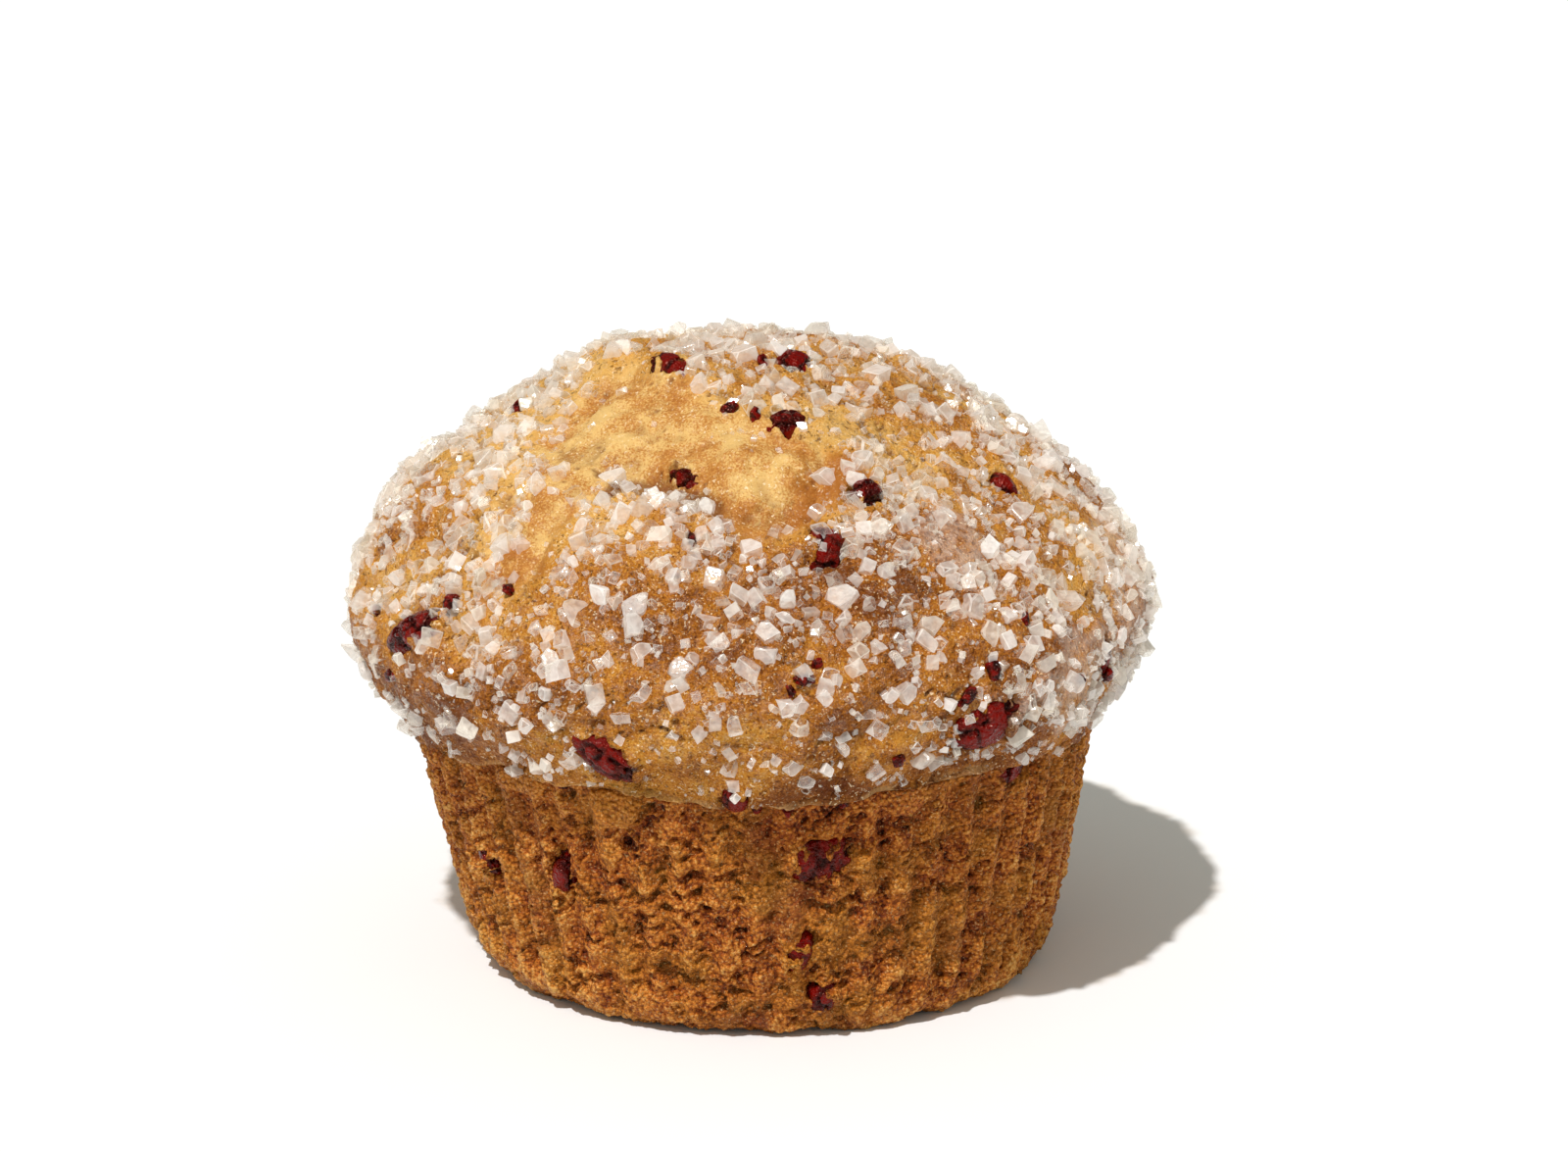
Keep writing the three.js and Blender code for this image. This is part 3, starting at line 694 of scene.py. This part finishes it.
def make_cap(material):
    alongs = np.linspace(LIP_ALONG - 0.5, OUTLINE_END, CAP_ROWS)[:-1]
    counts = []
    for along in alongs:
        halvings = sum(outline_radius(along) < limit for limit in CAP_HALVING_RADII)
        counts.append(CAP_COLUMNS // 2 ** int(halvings))
    dome_rings, facts = textured_rings(counts, alongs, cap_surface)
    inner = [
        flat_ring(CAP_FLOOR_RADIUS, COLLAR_HEIGHT + 1.2, CAP_COLUMNS),
        flat_ring(COLLAR_RADIUS - 0.4, COLLAR_HEIGHT + 0.4, CAP_COLUMNS),
    ]
    crown = cap_surface(np.array([0.0]), np.array([OUTLINE_END]))[0][0]
    points, triangles = closed_rings(inner + dome_rings, [0, 0, COLLAR_HEIGHT + 1.2], crown)
    facts = with_ends(facts, 1 + 2 * CAP_COLUMNS, 1)
    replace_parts(make_piece("crumb_cap", points, triangles, facts, material), "muffin")


def points_and_triangles(made):
    points = np.array([vertex.co[:] for vertex in made.verts])
    return points, np.array([[vertex.index for vertex in face.verts] for face in made.faces])


# A round mesh of radius 1, as points and triangles.
def unit_ball(subdivisions):
    made = bmesh.new()
    bmesh.ops.create_icosphere(made, subdivisions=subdivisions, radius=1)
    ball = points_and_triangles(made)
    made.free()
    return ball


# A dried cranberry in the place of its node: an oval drawn in by deep wrinkles.
def make_berry(name, material, ball):
    middle, axes, half = BERRIES[name]
    points, triangles = ball
    seed = 700 + 10 * sorted(BERRIES).index(name)
    place = points * half + 40
    crease = np.abs(noise(place, 1.9, seed)) + 0.45 * np.abs(noise(place, 0.8, seed + 1))
    swell = 1.07 + 0.12 * noise(place, 2.8, seed + 2)
    swell -= 0.3 * np.clip(0.4 - crease, 0, 1) / 0.4
    swell += 0.03 * noise(place, 0.45, seed + 3)
    shape = middle + (points * half * swell[:, None]) @ axes
    # The fold fact is low in the creases, which the material darkens as painted shade.
    facts = {"fold": np.clip(crease / 0.75, 0, 1)}
    piece_name = name.replace("cranberry", "berry")
    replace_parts(make_piece(piece_name, shape, triangles, facts, material), name)


# Small bits of fruit in the crumb's surface, all in one piece.
def make_flecks(material):
    ball, ball_triangles = unit_ball(FLECK_SUBDIVISIONS)
    points, triangles, folds = [], [], []
    for k, (azimuth, height, size) in enumerate(FLECKS):
        angle = np.array([math.radians(azimuth)])
        along = np.array([along_at_height(height)])
        surface = side_surface if height < COLLAR_HEIGHT else cap_surface
        middle = surface(angle, along)[0][0] + plain_normals(angle, along)[0] * 0.05 * size
        rng = np.random.default_rng(800 + k)
        turned = np.linalg.qr(rng.normal(size=(3, 3)))[0]
        turned *= np.sign(np.linalg.det(turned))
        half = size * np.array([1.15, 0.8, 0.65])
        crease = np.abs(noise(ball * half * 1.4 + 9 * k, 0.8, 801))
        shape = ball * half * (0.8 + 0.5 * crease[:, None])
        triangles.append(ball_triangles + len(ball) * k)
        points.append(middle + shape @ turned)
        # Low in the creases, which the material darkens as painted shade.
        folds.append(np.clip(crease * 1.5, 0, 1))
    facts = {"fold": np.concatenate(folds)}
    make_piece("berry_bits", np.vstack(points), np.vstack(triangles), facts, material)


# How much sugar lies on a part of the cap, from 0 to 1.
def sugar_density(points, azimuth, along):
    height = outline_height(along)
    radius = outline_radius(along)
    outside = outside_of(BARE_OUTLINE, radius * np.cos(azimuth), radius * np.sin(azimuth))
    outside = np.where(height < CAP_WIDEST_HEIGHT, 20.0, outside + 1.2 * noise(points, 3, 901))
    from_front = (np.degrees(azimuth) + 90 + 180) % 360 - 180
    near_front = smoothstep(-115, -80, from_front) * (1 - smoothstep(22, 36, from_front))
    low_front = near_front * (1 - smoothstep(42, 54, height))
    patchy = 0.7 + 0.6 * noise(points, 8.0, 911)
    rim = 1 - 0.3 * (1 - smoothstep(50, 60, height))
    under = rim * smoothstep(COLLAR_HEIGHT + 0.8, COLLAR_HEIGHT + 4.5, height)
    clear_of_berries = smoothstep(0.75, 1.15, berry_distance(points))
    share = patchy * (1 - 0.7 * low_front) * mix(0.25, 1, under) * mix(0.12, 1, clear_of_berries)
    return np.clip(share, 0.08, 1) * mix(0.05, 1, smoothstep(-0.4, 1.8, outside))


# The faces of an uneven crystal: six leaning sides and some corners cut off.
def crystal_planes(cuts, rng):
    planes = []
    for axis in range(3):
        for side in (-1, 1):
            direction = rng.normal(0, 0.09, 3)
            direction[axis] = side
            planes.append((Vector(direction).normalized(), rng.uniform(0.42, 0.52)))
    for _ in range(cuts):
        corner = rng.choice((-1, 1), 3) * rng.uniform(0.45, 1.1, 3)
        planes.append((Vector(corner).normalized(), rng.uniform(0.5, 0.66)))
    return planes


# Blender's bevel lists points and faces in another order on each run, so they are sorted by place.
def in_fixed_order(points, triangles, facets):
    order = np.lexsort(points.T)
    triangles = np.argsort(order)[triangles]
    turns = triangles.argmin(axis=1)[:, None] + np.arange(3)
    triangles = np.take_along_axis(triangles, turns % 3, axis=1)
    rows = np.lexsort(triangles.T)
    return points[order], triangles[rows], facets[rows]


# Crystals as points, triangles, and one number from 0 to 1 for each facet, its painted whiteness.
# It is 1 on chamfers, painted white as edge highlights.
def crystal_shapes(count, cuts, chamfer, seed):
    rng = np.random.default_rng(seed)
    shapes = []
    for _ in range(count):
        made = bmesh.new()
        bmesh.ops.create_cube(made, size=2)
        for direction, distance in crystal_planes(cuts, rng):
            whole = made.verts[:] + made.edges[:] + made.faces[:]
            bmesh.ops.bisect_plane(
                made, geom=whole, plane_co=direction * distance, plane_no=direction,
                clear_outer=True,
            )
            bmesh.ops.holes_fill(made, edges=made.edges[:])
        sides = sorted({face.normal.copy().freeze() for face in made.faces}, key=tuple)
        if chamfer:
            cut = chamfer * rng.uniform(0.7, 1.4)
            bmesh.ops.bevel(
                made, geom=made.edges[:], offset=cut, segments=1, affect="EDGES", clamp_overlap=True,
            )
        bmesh.ops.triangulate(made, faces=made.faces[:])
        bmesh.ops.recalc_face_normals(made, faces=made.faces[:])
        made.verts.index_update()
        # Each flat side gets a random painted shine, and chamfers get the full one.
        painted_shine = dict(zip(sides, rng.random(len(sides))))
        facets = []
        for face in made.faces:
            nearest = max(sides, key=face.normal.dot)
            facets.append(painted_shine[nearest] if face.normal.dot(nearest) > 0.995 else 1.0)
        shapes.append(in_fixed_order(*points_and_triangles(made), np.array(facets)))
        made.free()
    return shapes


# Rotations that stand each crystal on its normal, lean it and spin it. Half of them lie anyhow.
def crystal_turns(normals, lean, rng):
    leans = lean * rng.uniform(-1, 1, normals.shape)
    leans[rng.random(len(normals)) < 0.5] *= 3
    upright = unit(normals + leans)
    beside = unit(np.cross(upright, rng.normal(size=normals.shape)))
    return np.stack([beside, np.cross(upright, beside), upright], axis=1)


def grid_key(place):
    return tuple(int(value // CRYSTAL_GRID) for value in place)


def too_close(place, size, kept, closeness):
    limit = closeness * (size + kept[3]) / 2
    return sum((here - there) ** 2 for here, there in zip(place, kept)) < limit * limit


# Keeps the places that stand clear of those kept before.
def spaced(points, sizes, closeness, kept_grid):
    keep = []
    for k, place in enumerate(points):
        key = grid_key(place)
        near = (
            kept for dx, dy, dz in NEIGHBOURS
            for kept in kept_grid.get((key[0] + dx, key[1] + dy, key[2] + dz), ())
        )
        if not any(too_close(place, sizes[k], kept, closeness) for kept in near):
            kept_grid.setdefault(key, []).append((*place, sizes[k]))
            keep.append(k)
    return np.array(keep, int)


# Joins many crystals into one mesh.
def join_crystals(shapes, picks, scales, turns, middles):
    all_points, all_triangles, all_facets, owners = [], [], [], []
    start = 0
    for number, (points, triangles, facets) in enumerate(shapes):
        chosen = np.flatnonzero(picks == number)
        placed = points[None] * scales[chosen][:, None]
        placed = np.einsum("nij,njk->nik", placed, turns[chosen]) + middles[chosen][:, None]
        offsets = start + np.arange(len(chosen))[:, None, None] * len(points)
        all_points.append(placed.reshape(-1, 3))
        all_triangles.append((triangles[None] + offsets).reshape(-1, 3))
        all_facets.append(np.tile(facets, len(chosen)))
        owners.append(np.repeat(chosen, len(points)))
        start += placed.shape[0] * placed.shape[1]
    facets, owners = np.concatenate(all_facets), np.concatenate(owners)
    return np.vstack(all_points), np.vstack(all_triangles), facets, owners


# The solid's own rule for its large crystals.
def draw(index, purpose):
    value = np.sin(index * 127.1 + purpose * 311.7) * 43758.5453
    return value - np.floor(value)


def fused_crystals():
    index = np.arange(FUSED_CRYSTALS, dtype=float)
    height = CROWN_HEIGHT - (CROWN_HEIGHT - CRYSTAL_LOWEST) * (index + 0.5) / FUSED_CRYSTALS
    azimuth = index * GOLDEN_ANGLE
    along = np.array([along_at_height(h) for h in height])
    size = CRYSTAL_SIZE + CRYSTAL_SPREAD * draw(index, 1)
    normals = crust_normals(azimuth, along)
    lean = np.column_stack([draw(index, k) - 0.5 for k in (4, 5, 6)])
    upright = unit(normals + CRYSTAL_TILT * lean)
    middles = crust_points(azimuth, along) + normals * (size * CRYSTAL_STANDING)[:, None]
    scales = size[:, None] * np.column_stack([
        np.ones(FUSED_CRYSTALS), 0.75 + 0.3 * draw(index, 2), 0.7 + 0.3 * draw(index, 3),
    ])
    turns = np.empty((FUSED_CRYSTALS, 3, 3))
    for k in range(FUSED_CRYSTALS):
        stand = Vector((0, 0, 1)).rotation_difference(Vector(upright[k])).to_matrix()
        spin = Matrix.Rotation(draw(index[k], 7) * math.pi, 3, Vector(upright[k]))
        turns[k] = np.array(spin @ stand).T
    outside = outside_of(SPLIT_OUTLINE, middles[:, 0], middles[:, 1])
    keep = (outside >= 1) | (height <= CAP_WIDEST_HEIGHT)
    for middle, _, half in BERRIES.values():
        margin = size * CRYSTAL_REACH + CRYSTAL_CLEARANCE
        keep &= np.linalg.norm(middles - middle, axis=1) >= half.max() + margin
    return middles[keep], scales[keep], turns[keep], size[keep]


# Crystals of one range of sizes, scattered by area over the cap.
def scattered_crystals(tries, sizes, closeness, standing, lean, flock, seed, kept_grid):
    rng = np.random.default_rng(seed)
    steps = np.linspace(LIP_ALONG, OUTLINE_END, 4000)
    area = np.cumsum(outline_radius(steps))
    along = np.interp(rng.random(tries) * area[-1], area, steps)
    azimuth = rng.uniform(-math.pi, math.pi, tries)
    points = cap_surface(azimuth, along)[0]
    flocks = smoothstep(-0.1, 0.5, noise(points, 4.5, seed))
    flocks = np.clip(flocks + ragged_share(CLUSTERS, points, azimuth, along), 0.1, 1)
    density = sugar_density(points, azimuth, along) * mix(1, flocks, flock)
    chosen = np.flatnonzero(rng.random(tries) < density)
    size = mix(*sizes, rng.random(tries) ** 1.6)
    chosen = chosen[np.argsort(-size[chosen])]
    chosen = chosen[spaced(points[chosen], size[chosen], closeness, kept_grid)]
    size, normals = size[chosen], plain_normals(azimuth[chosen], along[chosen])
    middles = points[chosen] + normals * (size * rng.uniform(*standing, len(chosen)))[:, None]
    scales = size[:, None] * rng.uniform((0.8, 0.68, 0.6), (1.25, 1.0, 0.95), (len(chosen), 3))
    return middles, scales, crystal_turns(normals, lean, rng), size


def make_crystals(name, kind, crystals):
    middles, scales, turns, size = crystals
    shapes = crystal_shapes(**kind["shapes"])
    rng = np.random.default_rng(kind["seed"])
    picks = rng.integers(0, len(shapes), len(size))
    points, triangles, facets, owners = join_crystals(shapes, picks, scales, turns, middles)
    milk, tint = rng.random((2, len(size)))[:, owners]
    facts = {"milk": milk**2, "tint": tint}
    material = sugar_look(name, *kind["milk"])
    piece = make_piece(name, points, triangles, facts, material, smooth=False)
    layer = piece.data.attributes.new("facet", "FLOAT", "FACE")
    layer.data.foreach_set("value", facets.astype(np.float32))
    return piece


# Coarse and medium crystals keep clear of each other. Fine ones lie between and on them.
def make_sugar():
    fused = fused_crystals()
    kept_grid = {}
    for middle, size in zip(fused[0], fused[3]):
        kept_grid.setdefault(grid_key(middle), []).append((*middle, size))
    coarse = scattered_crystals(**SUGARS["sugar_coarse"]["scatter"], kept_grid=kept_grid)
    medium = scattered_crystals(**SUGARS["sugar_medium"]["scatter"], kept_grid=kept_grid)
    fine = scattered_crystals(**SUGARS["sugar_fine"]["scatter"], kept_grid={})
    coarse = [np.concatenate(pair) for pair in zip(fused, coarse)]
    for (name, kind), crystals in zip(SUGARS.items(), (coarse, medium, fine)):
        piece = make_crystals(name, kind, crystals)
        if name == "sugar_coarse":
            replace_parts(piece, "muffin")


# Linear colour from the values of a picture.
def colour(red, green, blue):
    def linear(value):
        value = value / 255
        return value / 12.92 if value <= 0.04045 else ((value + 0.055) / 1.055) ** 2.4

    return (linear(red), linear(green), linear(blue), 1.0)


# Short calls for shader nodes. Inputs go by their names, with _ for a space.
class Nodes:
    def __init__(self, tree):
        self.tree = tree

    def put(self, socket, value):
        if isinstance(value, bpy.types.NodeSocket):
            self.tree.links.new(value, socket)
        else:
            socket.default_value = value

    def put_all(self, node, inputs):
        for name, value in inputs.items():
            self.put(node.inputs[name.replace("_", " ")], value)

    def node(self, kind, settings=None, **inputs):
        node = self.tree.nodes.new("ShaderNode" + kind)
        for name, value in (settings or {}).items():
            setattr(node, name, value)
        self.put_all(node, inputs)
        return node

    def rescale(self, value, low, high, to_low=0.0, to_high=1.0):
        return self.node(
            "MapRange", Value=value, From_Min=low, From_Max=high, To_Min=to_low, To_Max=to_high,
        ).outputs["Result"]


# A material's nodes. The sizes of noise and cells are in millimetres.
class Look(Nodes):
    def __init__(self, name):
        self.material = bpy.data.materials.new(name)
        self.material.use_nodes = True
        super().__init__(self.material.node_tree)
        self.shader = self.tree.nodes["Principled BSDF"]
        self.place = self.node("TexCoord").outputs["Object"]

    def set(self, **values):
        self.put_all(self.shader, values)

    def blend(self, share, first, second):
        node = self.node("MixShader")
        for socket, value in zip(node.inputs, (share, first, second)):
            self.put(socket, value)
        return node.outputs[0]

    def fact(self, name):
        return self.node("Attribute", {"attribute_name": name}).outputs["Fac"]

    def noise(self, size, detail=2.0, roughness=0.5):
        return self.node(
            "TexNoise", Vector=self.place, Scale=1 / (size * MM), Detail=detail, Roughness=roughness,
        ).outputs["Fac"]

    def cells(self, size):
        return self.node("TexVoronoi", Vector=self.place, Scale=1 / (size * MM)).outputs["Distance"]

    def maths(self, operation, first, second, clamp=False):
        node = self.node("Math", {"operation": operation, "use_clamp": clamp})
        self.put(node.inputs[0], first)
        self.put(node.inputs[1], second)
        return node.outputs[0]

    def plus(self, first, second, clamp=False):
        return self.maths("ADD", first, second, clamp)

    def times(self, first, second):
        return self.maths("MULTIPLY", first, second)

    # Noise as a number that swings around 0.
    def swing(self, noise, reach):
        return self.rescale(noise, 0.3, 0.7, -reach, reach)

    def ramp(self, value, *stops):
        node = self.node("ValToRGB", Fac=value)
        elements = node.color_ramp.elements
        while len(elements) < len(stops):
            elements.new(0.5)
        for element, (place, shade) in zip(elements, stops):
            element.position = place
            element.color = shade
        return node.outputs["Color"]

    def mix(self, share, first, second):
        node = self.node("Mix", {"data_type": "RGBA"}, Factor=share)
        self.put(node.inputs[6], first)
        self.put(node.inputs[7], second)
        return node.outputs[2]

    # Bump on the main shader and its coat. It returns the normal, for the material's other shaders.
    def bump(self, height, strength, depth):
        normal = self.node("Bump", Height=height, Strength=strength, Distance=depth * MM)
        self.set(Normal=normal.outputs["Normal"], Coat_Normal=normal.outputs["Normal"])
        return normal.outputs["Normal"]


# Brown crumb of the side, golden on its granules, with painted shade in its pits and between its
# granules.
def side_look():
    look = Look("baked_side_crumb")
    speckle = look.noise(0.42, 3.0, 0.65)
    grains = look.cells(0.5)
    # The lightness carries the side's painted light and shade, and the gaps between granules are
    # darkened further as painted shade.
    light = look.plus(look.fact("light"), look.swing(speckle, 0.22))
    light = look.plus(light, look.rescale(grains, 0.5, 0.85, 0.03, -0.2), clamp=True)
    shade = look.ramp(
        light,
        (0.05, colour(58, 14, 0)),
        (0.3, colour(118, 45, 4)),
        (0.54, colour(164, 82, 17)),
        (0.76, colour(208, 124, 42)),
        (1.0, colour(240, 180, 98)),
    )
    skin = look.ramp(
        look.noise(1.2, 3.0, 0.6), (0.3, colour(92, 32, 6)), (0.7, colour(158, 82, 30)),
    )
    shade = look.mix(look.times(look.fact("skin"), 0.55), shade, skin)
    warm = look.rescale(look.noise(7.0), 0.42, 0.62, 0.0, 0.34)
    shade = look.mix(warm, shade, colour(184, 126, 34))
    # Painted glints: small pale dots that stand in for highlights on the grains.
    painted_glints = look.rescale(look.noise(0.3, 1.0), 0.62, 0.7, 0.0, 0.4)
    shade = look.mix(painted_glints, shade, colour(250, 206, 142))
    look.set(Base_Color=shade, Roughness=look.rescale(speckle, 0.3, 0.7, 0.4, 0.75))
    look.set(Specular_IOR_Level=0.2)
    dome = look.times(look.times(grains, grains), -1.6)
    look.bump(look.plus(dome, look.times(speckle, 0.9)), 1.0, 0.36)
    return look.material


# Golden crust of the cap: pale in the split, browner on its crags, with a glaze of melted sugar.
# Painted shade darkens its hollows, painted light and shade vary it by place, and pale dots are
# painted glints.
def cap_look():
    look = Look("baked_cap_crust")
    valley, gloss = look.fact("valley"), look.fact("gloss")
    speckle = look.noise(0.26, 2.0, 0.6)
    # The crust's colour follows how brown it baked and the painted light and shade held in the same
    # fact.
    bake_and_painted_shade = look.plus(look.fact("bake_and_painted_shade"), look.swing(look.noise(3.0), 0.14))
    crust = look.ramp(
        look.plus(bake_and_painted_shade, look.swing(speckle, 0.22), clamp=True),
        (0.08, colour(228, 176, 94)),
        (0.36, colour(206, 142, 52)),
        (0.62, colour(174, 104, 26)),
        (0.92, colour(118, 60, 8)),
    )
    pale = look.plus(look.noise(4.0, 3.0), look.swing(speckle, 0.16))
    # The split's crumb is darker where that fact is high, so it carries the painted shade as well.
    inside = look.ramp(
        look.plus(pale, look.rescale(look.fact("bake_and_painted_shade"), 0.1, 0.5, 0.1, -0.25)),
        (0.28, colour(166, 100, 36)),
        (0.48, colour(192, 130, 60)),
        (0.66, colour(224, 182, 112)),
    )
    shade = look.mix(valley, crust, inside)
    edge = look.rescale(look.noise(4.0), 0.45, 0.65, 0.0, 0.5)
    shade = look.mix(look.times(look.fact("lip"), edge), shade, colour(240, 192, 130))
    # Painted shade: dark brown in pores, less in the split, and in the hollows, cracks and crevice.
    pores = look.rescale(look.noise(0.6, 2.0, 0.6), 0.3, 0.4, 1.0, 0.0)
    dark = look.times(pores, look.rescale(valley, 0.0, 1.0, 0.62, 0.0))
    dark = look.plus(dark, look.rescale(look.fact("cavity_shade"), 0.5, 1.0, 0.0, 0.75), clamp=True)
    shade = look.mix(dark, shade, colour(104, 46, 8))
    # Painted glints: pale dots, in clusters, that stand in for the sparkle of melted sugar.
    painted_glints = look.rescale(look.noise(0.36, 1.0), 0.62, 0.7, 0.0, 0.75)
    painted_glints = look.times(painted_glints, look.rescale(look.noise(2.4), 0.4, 0.6, 0.2, 1.0))
    shade = look.mix(painted_glints, shade, colour(250, 226, 186))
    film = look.times(look.fact("film"), look.rescale(look.noise(1.1, 3.0), 0.3, 0.7, 0.05, 0.55))
    shade = look.mix(film, shade, colour(226, 200, 182))
    look.set(Base_Color=shade, Roughness=look.rescale(speckle, 0.3, 0.7, 0.4, 0.75))
    look.set(Specular_IOR_Level=0.16, Coat_Roughness=0.2, Coat_IOR=1.6)
    glaze = look.rescale(look.noise(0.8), 0.46, 0.58, 0.0, 0.9)
    glaze = look.maths("SUBTRACT", glaze, look.times(valley, 0.7), clamp=True)
    glaze = look.maths("MAXIMUM", glaze, film)
    look.set(Coat_Weight=look.times(glaze, look.rescale(gloss, 0.0, 1.0, 0.15, 1.0)))
    grain = look.plus(look.noise(0.4, 3.0, 0.65), look.times(pores, -0.5))
    look.bump(grain, look.rescale(valley, 0.0, 1.0, 1.0, 0.5), 0.42)
    return look.material


# Dried cranberry: darker in its folds as painted shade, redder on its ridges, sticky all over.
def berry_look():
    look = Look("dried_cranberry")
    fold = look.plus(look.fact("fold"), look.swing(look.noise(0.8), 0.3), clamp=True)
    shade = look.ramp(
        fold, (0.1, colour(28, 0, 0)), (0.5, colour(66, 1, 0)), (0.9, colour(112, 6, 2)),
    )
    look.set(Base_Color=shade, Roughness=0.14)
    look.set(Specular_IOR_Level=0.28, Specular_Tint=(1, 0.36, 0.26, 1))
    look.set(Coat_Weight=0.12, Coat_Roughness=0.05)
    look.bump(look.noise(0.6, 2.0, 0.55), 1.0, 0.6)
    return look.material


# Sugar crystals: milky in places, white on painted highlights of facets and edges, and see-through
# elsewhere.
# All light passes on to the crust below, so the crust isn't black there.
def sugar_look(name, clearest, milkiest):
    look = Look(name)
    tint = look.ramp(
        look.fact("tint"),
        (0.0, (1.0, 0.97, 0.94, 1)),
        (0.6, (1.0, 0.95, 0.905, 1)),
        (1.0, (1.0, 0.945, 0.84, 1)),
    )
    look.set(Base_Color=tint, Roughness=0.16, Specular_IOR_Level=0.6)
    ripple = look.bump(look.noise(0.7), 0.6, 0.16)
    glow = look.node("BsdfTranslucent", Color=tint).outputs[0]
    clear = look.node("BsdfTransparent", Color=(1.0, 0.985, 0.95, 1)).outputs[0]
    passing = look.node("BsdfTransparent", Color=(0.93, 0.91, 0.89, 1)).outputs[0]
    mirror = look.node("BsdfGlossy", Color=(1, 1, 1, 1), Roughness=0.09, Normal=ripple).outputs[0]
    cloud = look.rescale(look.noise(0.9), 0.35, 0.65, -0.12, 0.12)
    milk = look.rescale(look.fact("milk"), 0.0, 1.0, clearest, milkiest)
    # Painted highlights: chamfers are whiter, and the other facets are whiter or clearer at random
    # as painted shine.
    white = look.plus(milk, look.rescale(look.fact("facet"), 0.0, 1.0, -0.2, 0.42))
    white = look.plus(white, cloud, clamp=True)
    body = look.blend(0.42, look.shader.outputs["BSDF"], glow)
    crystal = look.blend(white, look.blend(0.14, clear, mirror), body)
    in_shadow = look.node("LightPath").outputs["Is Shadow Ray"]
    surface = look.blend(in_shadow, crystal, passing)
    look.put(look.tree.nodes["Material Output"].inputs["Surface"], surface)
    return look.material


def floor_look():
    look = Look("white_floor")
    shade = look.ramp(
        look.noise(400, 1.0), (0.3, (0.915, 0.915, 0.915, 1)), (0.7, (0.925, 0.925, 0.925, 1)),
    )
    look.set(Base_Color=shade, Roughness=0.9, Specular_IOR_Level=0.0)
    return look.material


def make_stage():
    mesh = bpy.data.meshes.new("floor")
    corners = ((-1, -1), (1, -1), (1, 1), (-1, 1))
    mesh.from_pydata([(x * FLOOR_REACH, y * FLOOR_REACH, 0) for x, y in corners], [], [(0, 1, 2, 3)])
    mesh.materials.append(floor_look())
    add_object("floor", mesh)


def make_lights():
    sun = bpy.data.lights.new("sun", "SUN")
    sun.energy = SUN_STRENGTH
    sun.angle = math.radians(SUN_WIDTH)
    holder = add_object("sun", sun)
    holder.rotation_euler = Vector(SUN_FROM).to_track_quat("Z", "Y").to_euler()
    bpy.context.scene.world = make_sky()


# The sky is brighter near the horizon, where the room is white. What is glossy mirrors a dim room
# with one large screen beside the sun, so that dark and wet surfaces keep their colour.
def make_sky():
    world = bpy.data.worlds.new("sky")
    world.use_nodes = True
    sky = Nodes(world.node_tree)
    direction = sky.node("TexCoord").outputs["Generated"]
    height = sky.node("SeparateXYZ", Vector=direction).outputs["Z"]
    facing = sky.node("VectorMath", {"operation": "DOT_PRODUCT"})
    sky.put(facing.inputs[0], direction)
    sky.put(facing.inputs[1], Vector(SCREEN_FROM).normalized())
    screen = sky.rescale(facing.outputs["Value"], *SCREEN_EDGE, ROOM_MIRRORED, SCREEN_MIRRORED)
    even = sky.rescale(height, 0.0, 1.0, SKY_AT_HORIZON, SKY_OVERHEAD)
    glossy = sky.node("LightPath").outputs["Is Glossy Ray"]
    strength = sky.rescale(glossy, 0.0, 1.0, even, screen)
    sky.put_all(world.node_tree.nodes["Background"], {"Color": SKY_COLOUR, "Strength": strength})
    return world


def make_camera():
    camera = bpy.data.cameras.new("camera")
    camera.lens = CAMERA_LENS
    camera.sensor_width = 36
    camera.clip_end = 20
    view = add_object("camera", camera)
    view.location = [place + shift * MM for place, shift in zip(CAMERA_PLACE, OFFSET)]
    view.rotation_euler = (math.pi / 2 - CAMERA_TILT, 0, 0)
    bpy.context.scene.camera = view


def set_light_paths():
    bpy.context.scene.view_settings.view_transform = "Standard"
    cycles = bpy.context.scene.cycles
    cycles.max_bounces = 4
    cycles.diffuse_bounces = cycles.glossy_bounces = 2
    cycles.transmission_bounces = 3
    cycles.transparent_max_bounces = 8
    cycles.caustics_reflective = cycles.caustics_refractive = False


make_camera()
make_stage()
make_lights()
set_light_paths()
make_side(side_look())
make_cap(cap_look())
red = berry_look()
berry_ball = unit_ball(BERRY_SUBDIVISIONS)
for berry in sorted(BERRIES):
    make_berry(berry, red, berry_ball)
make_flecks(red)
make_sugar()
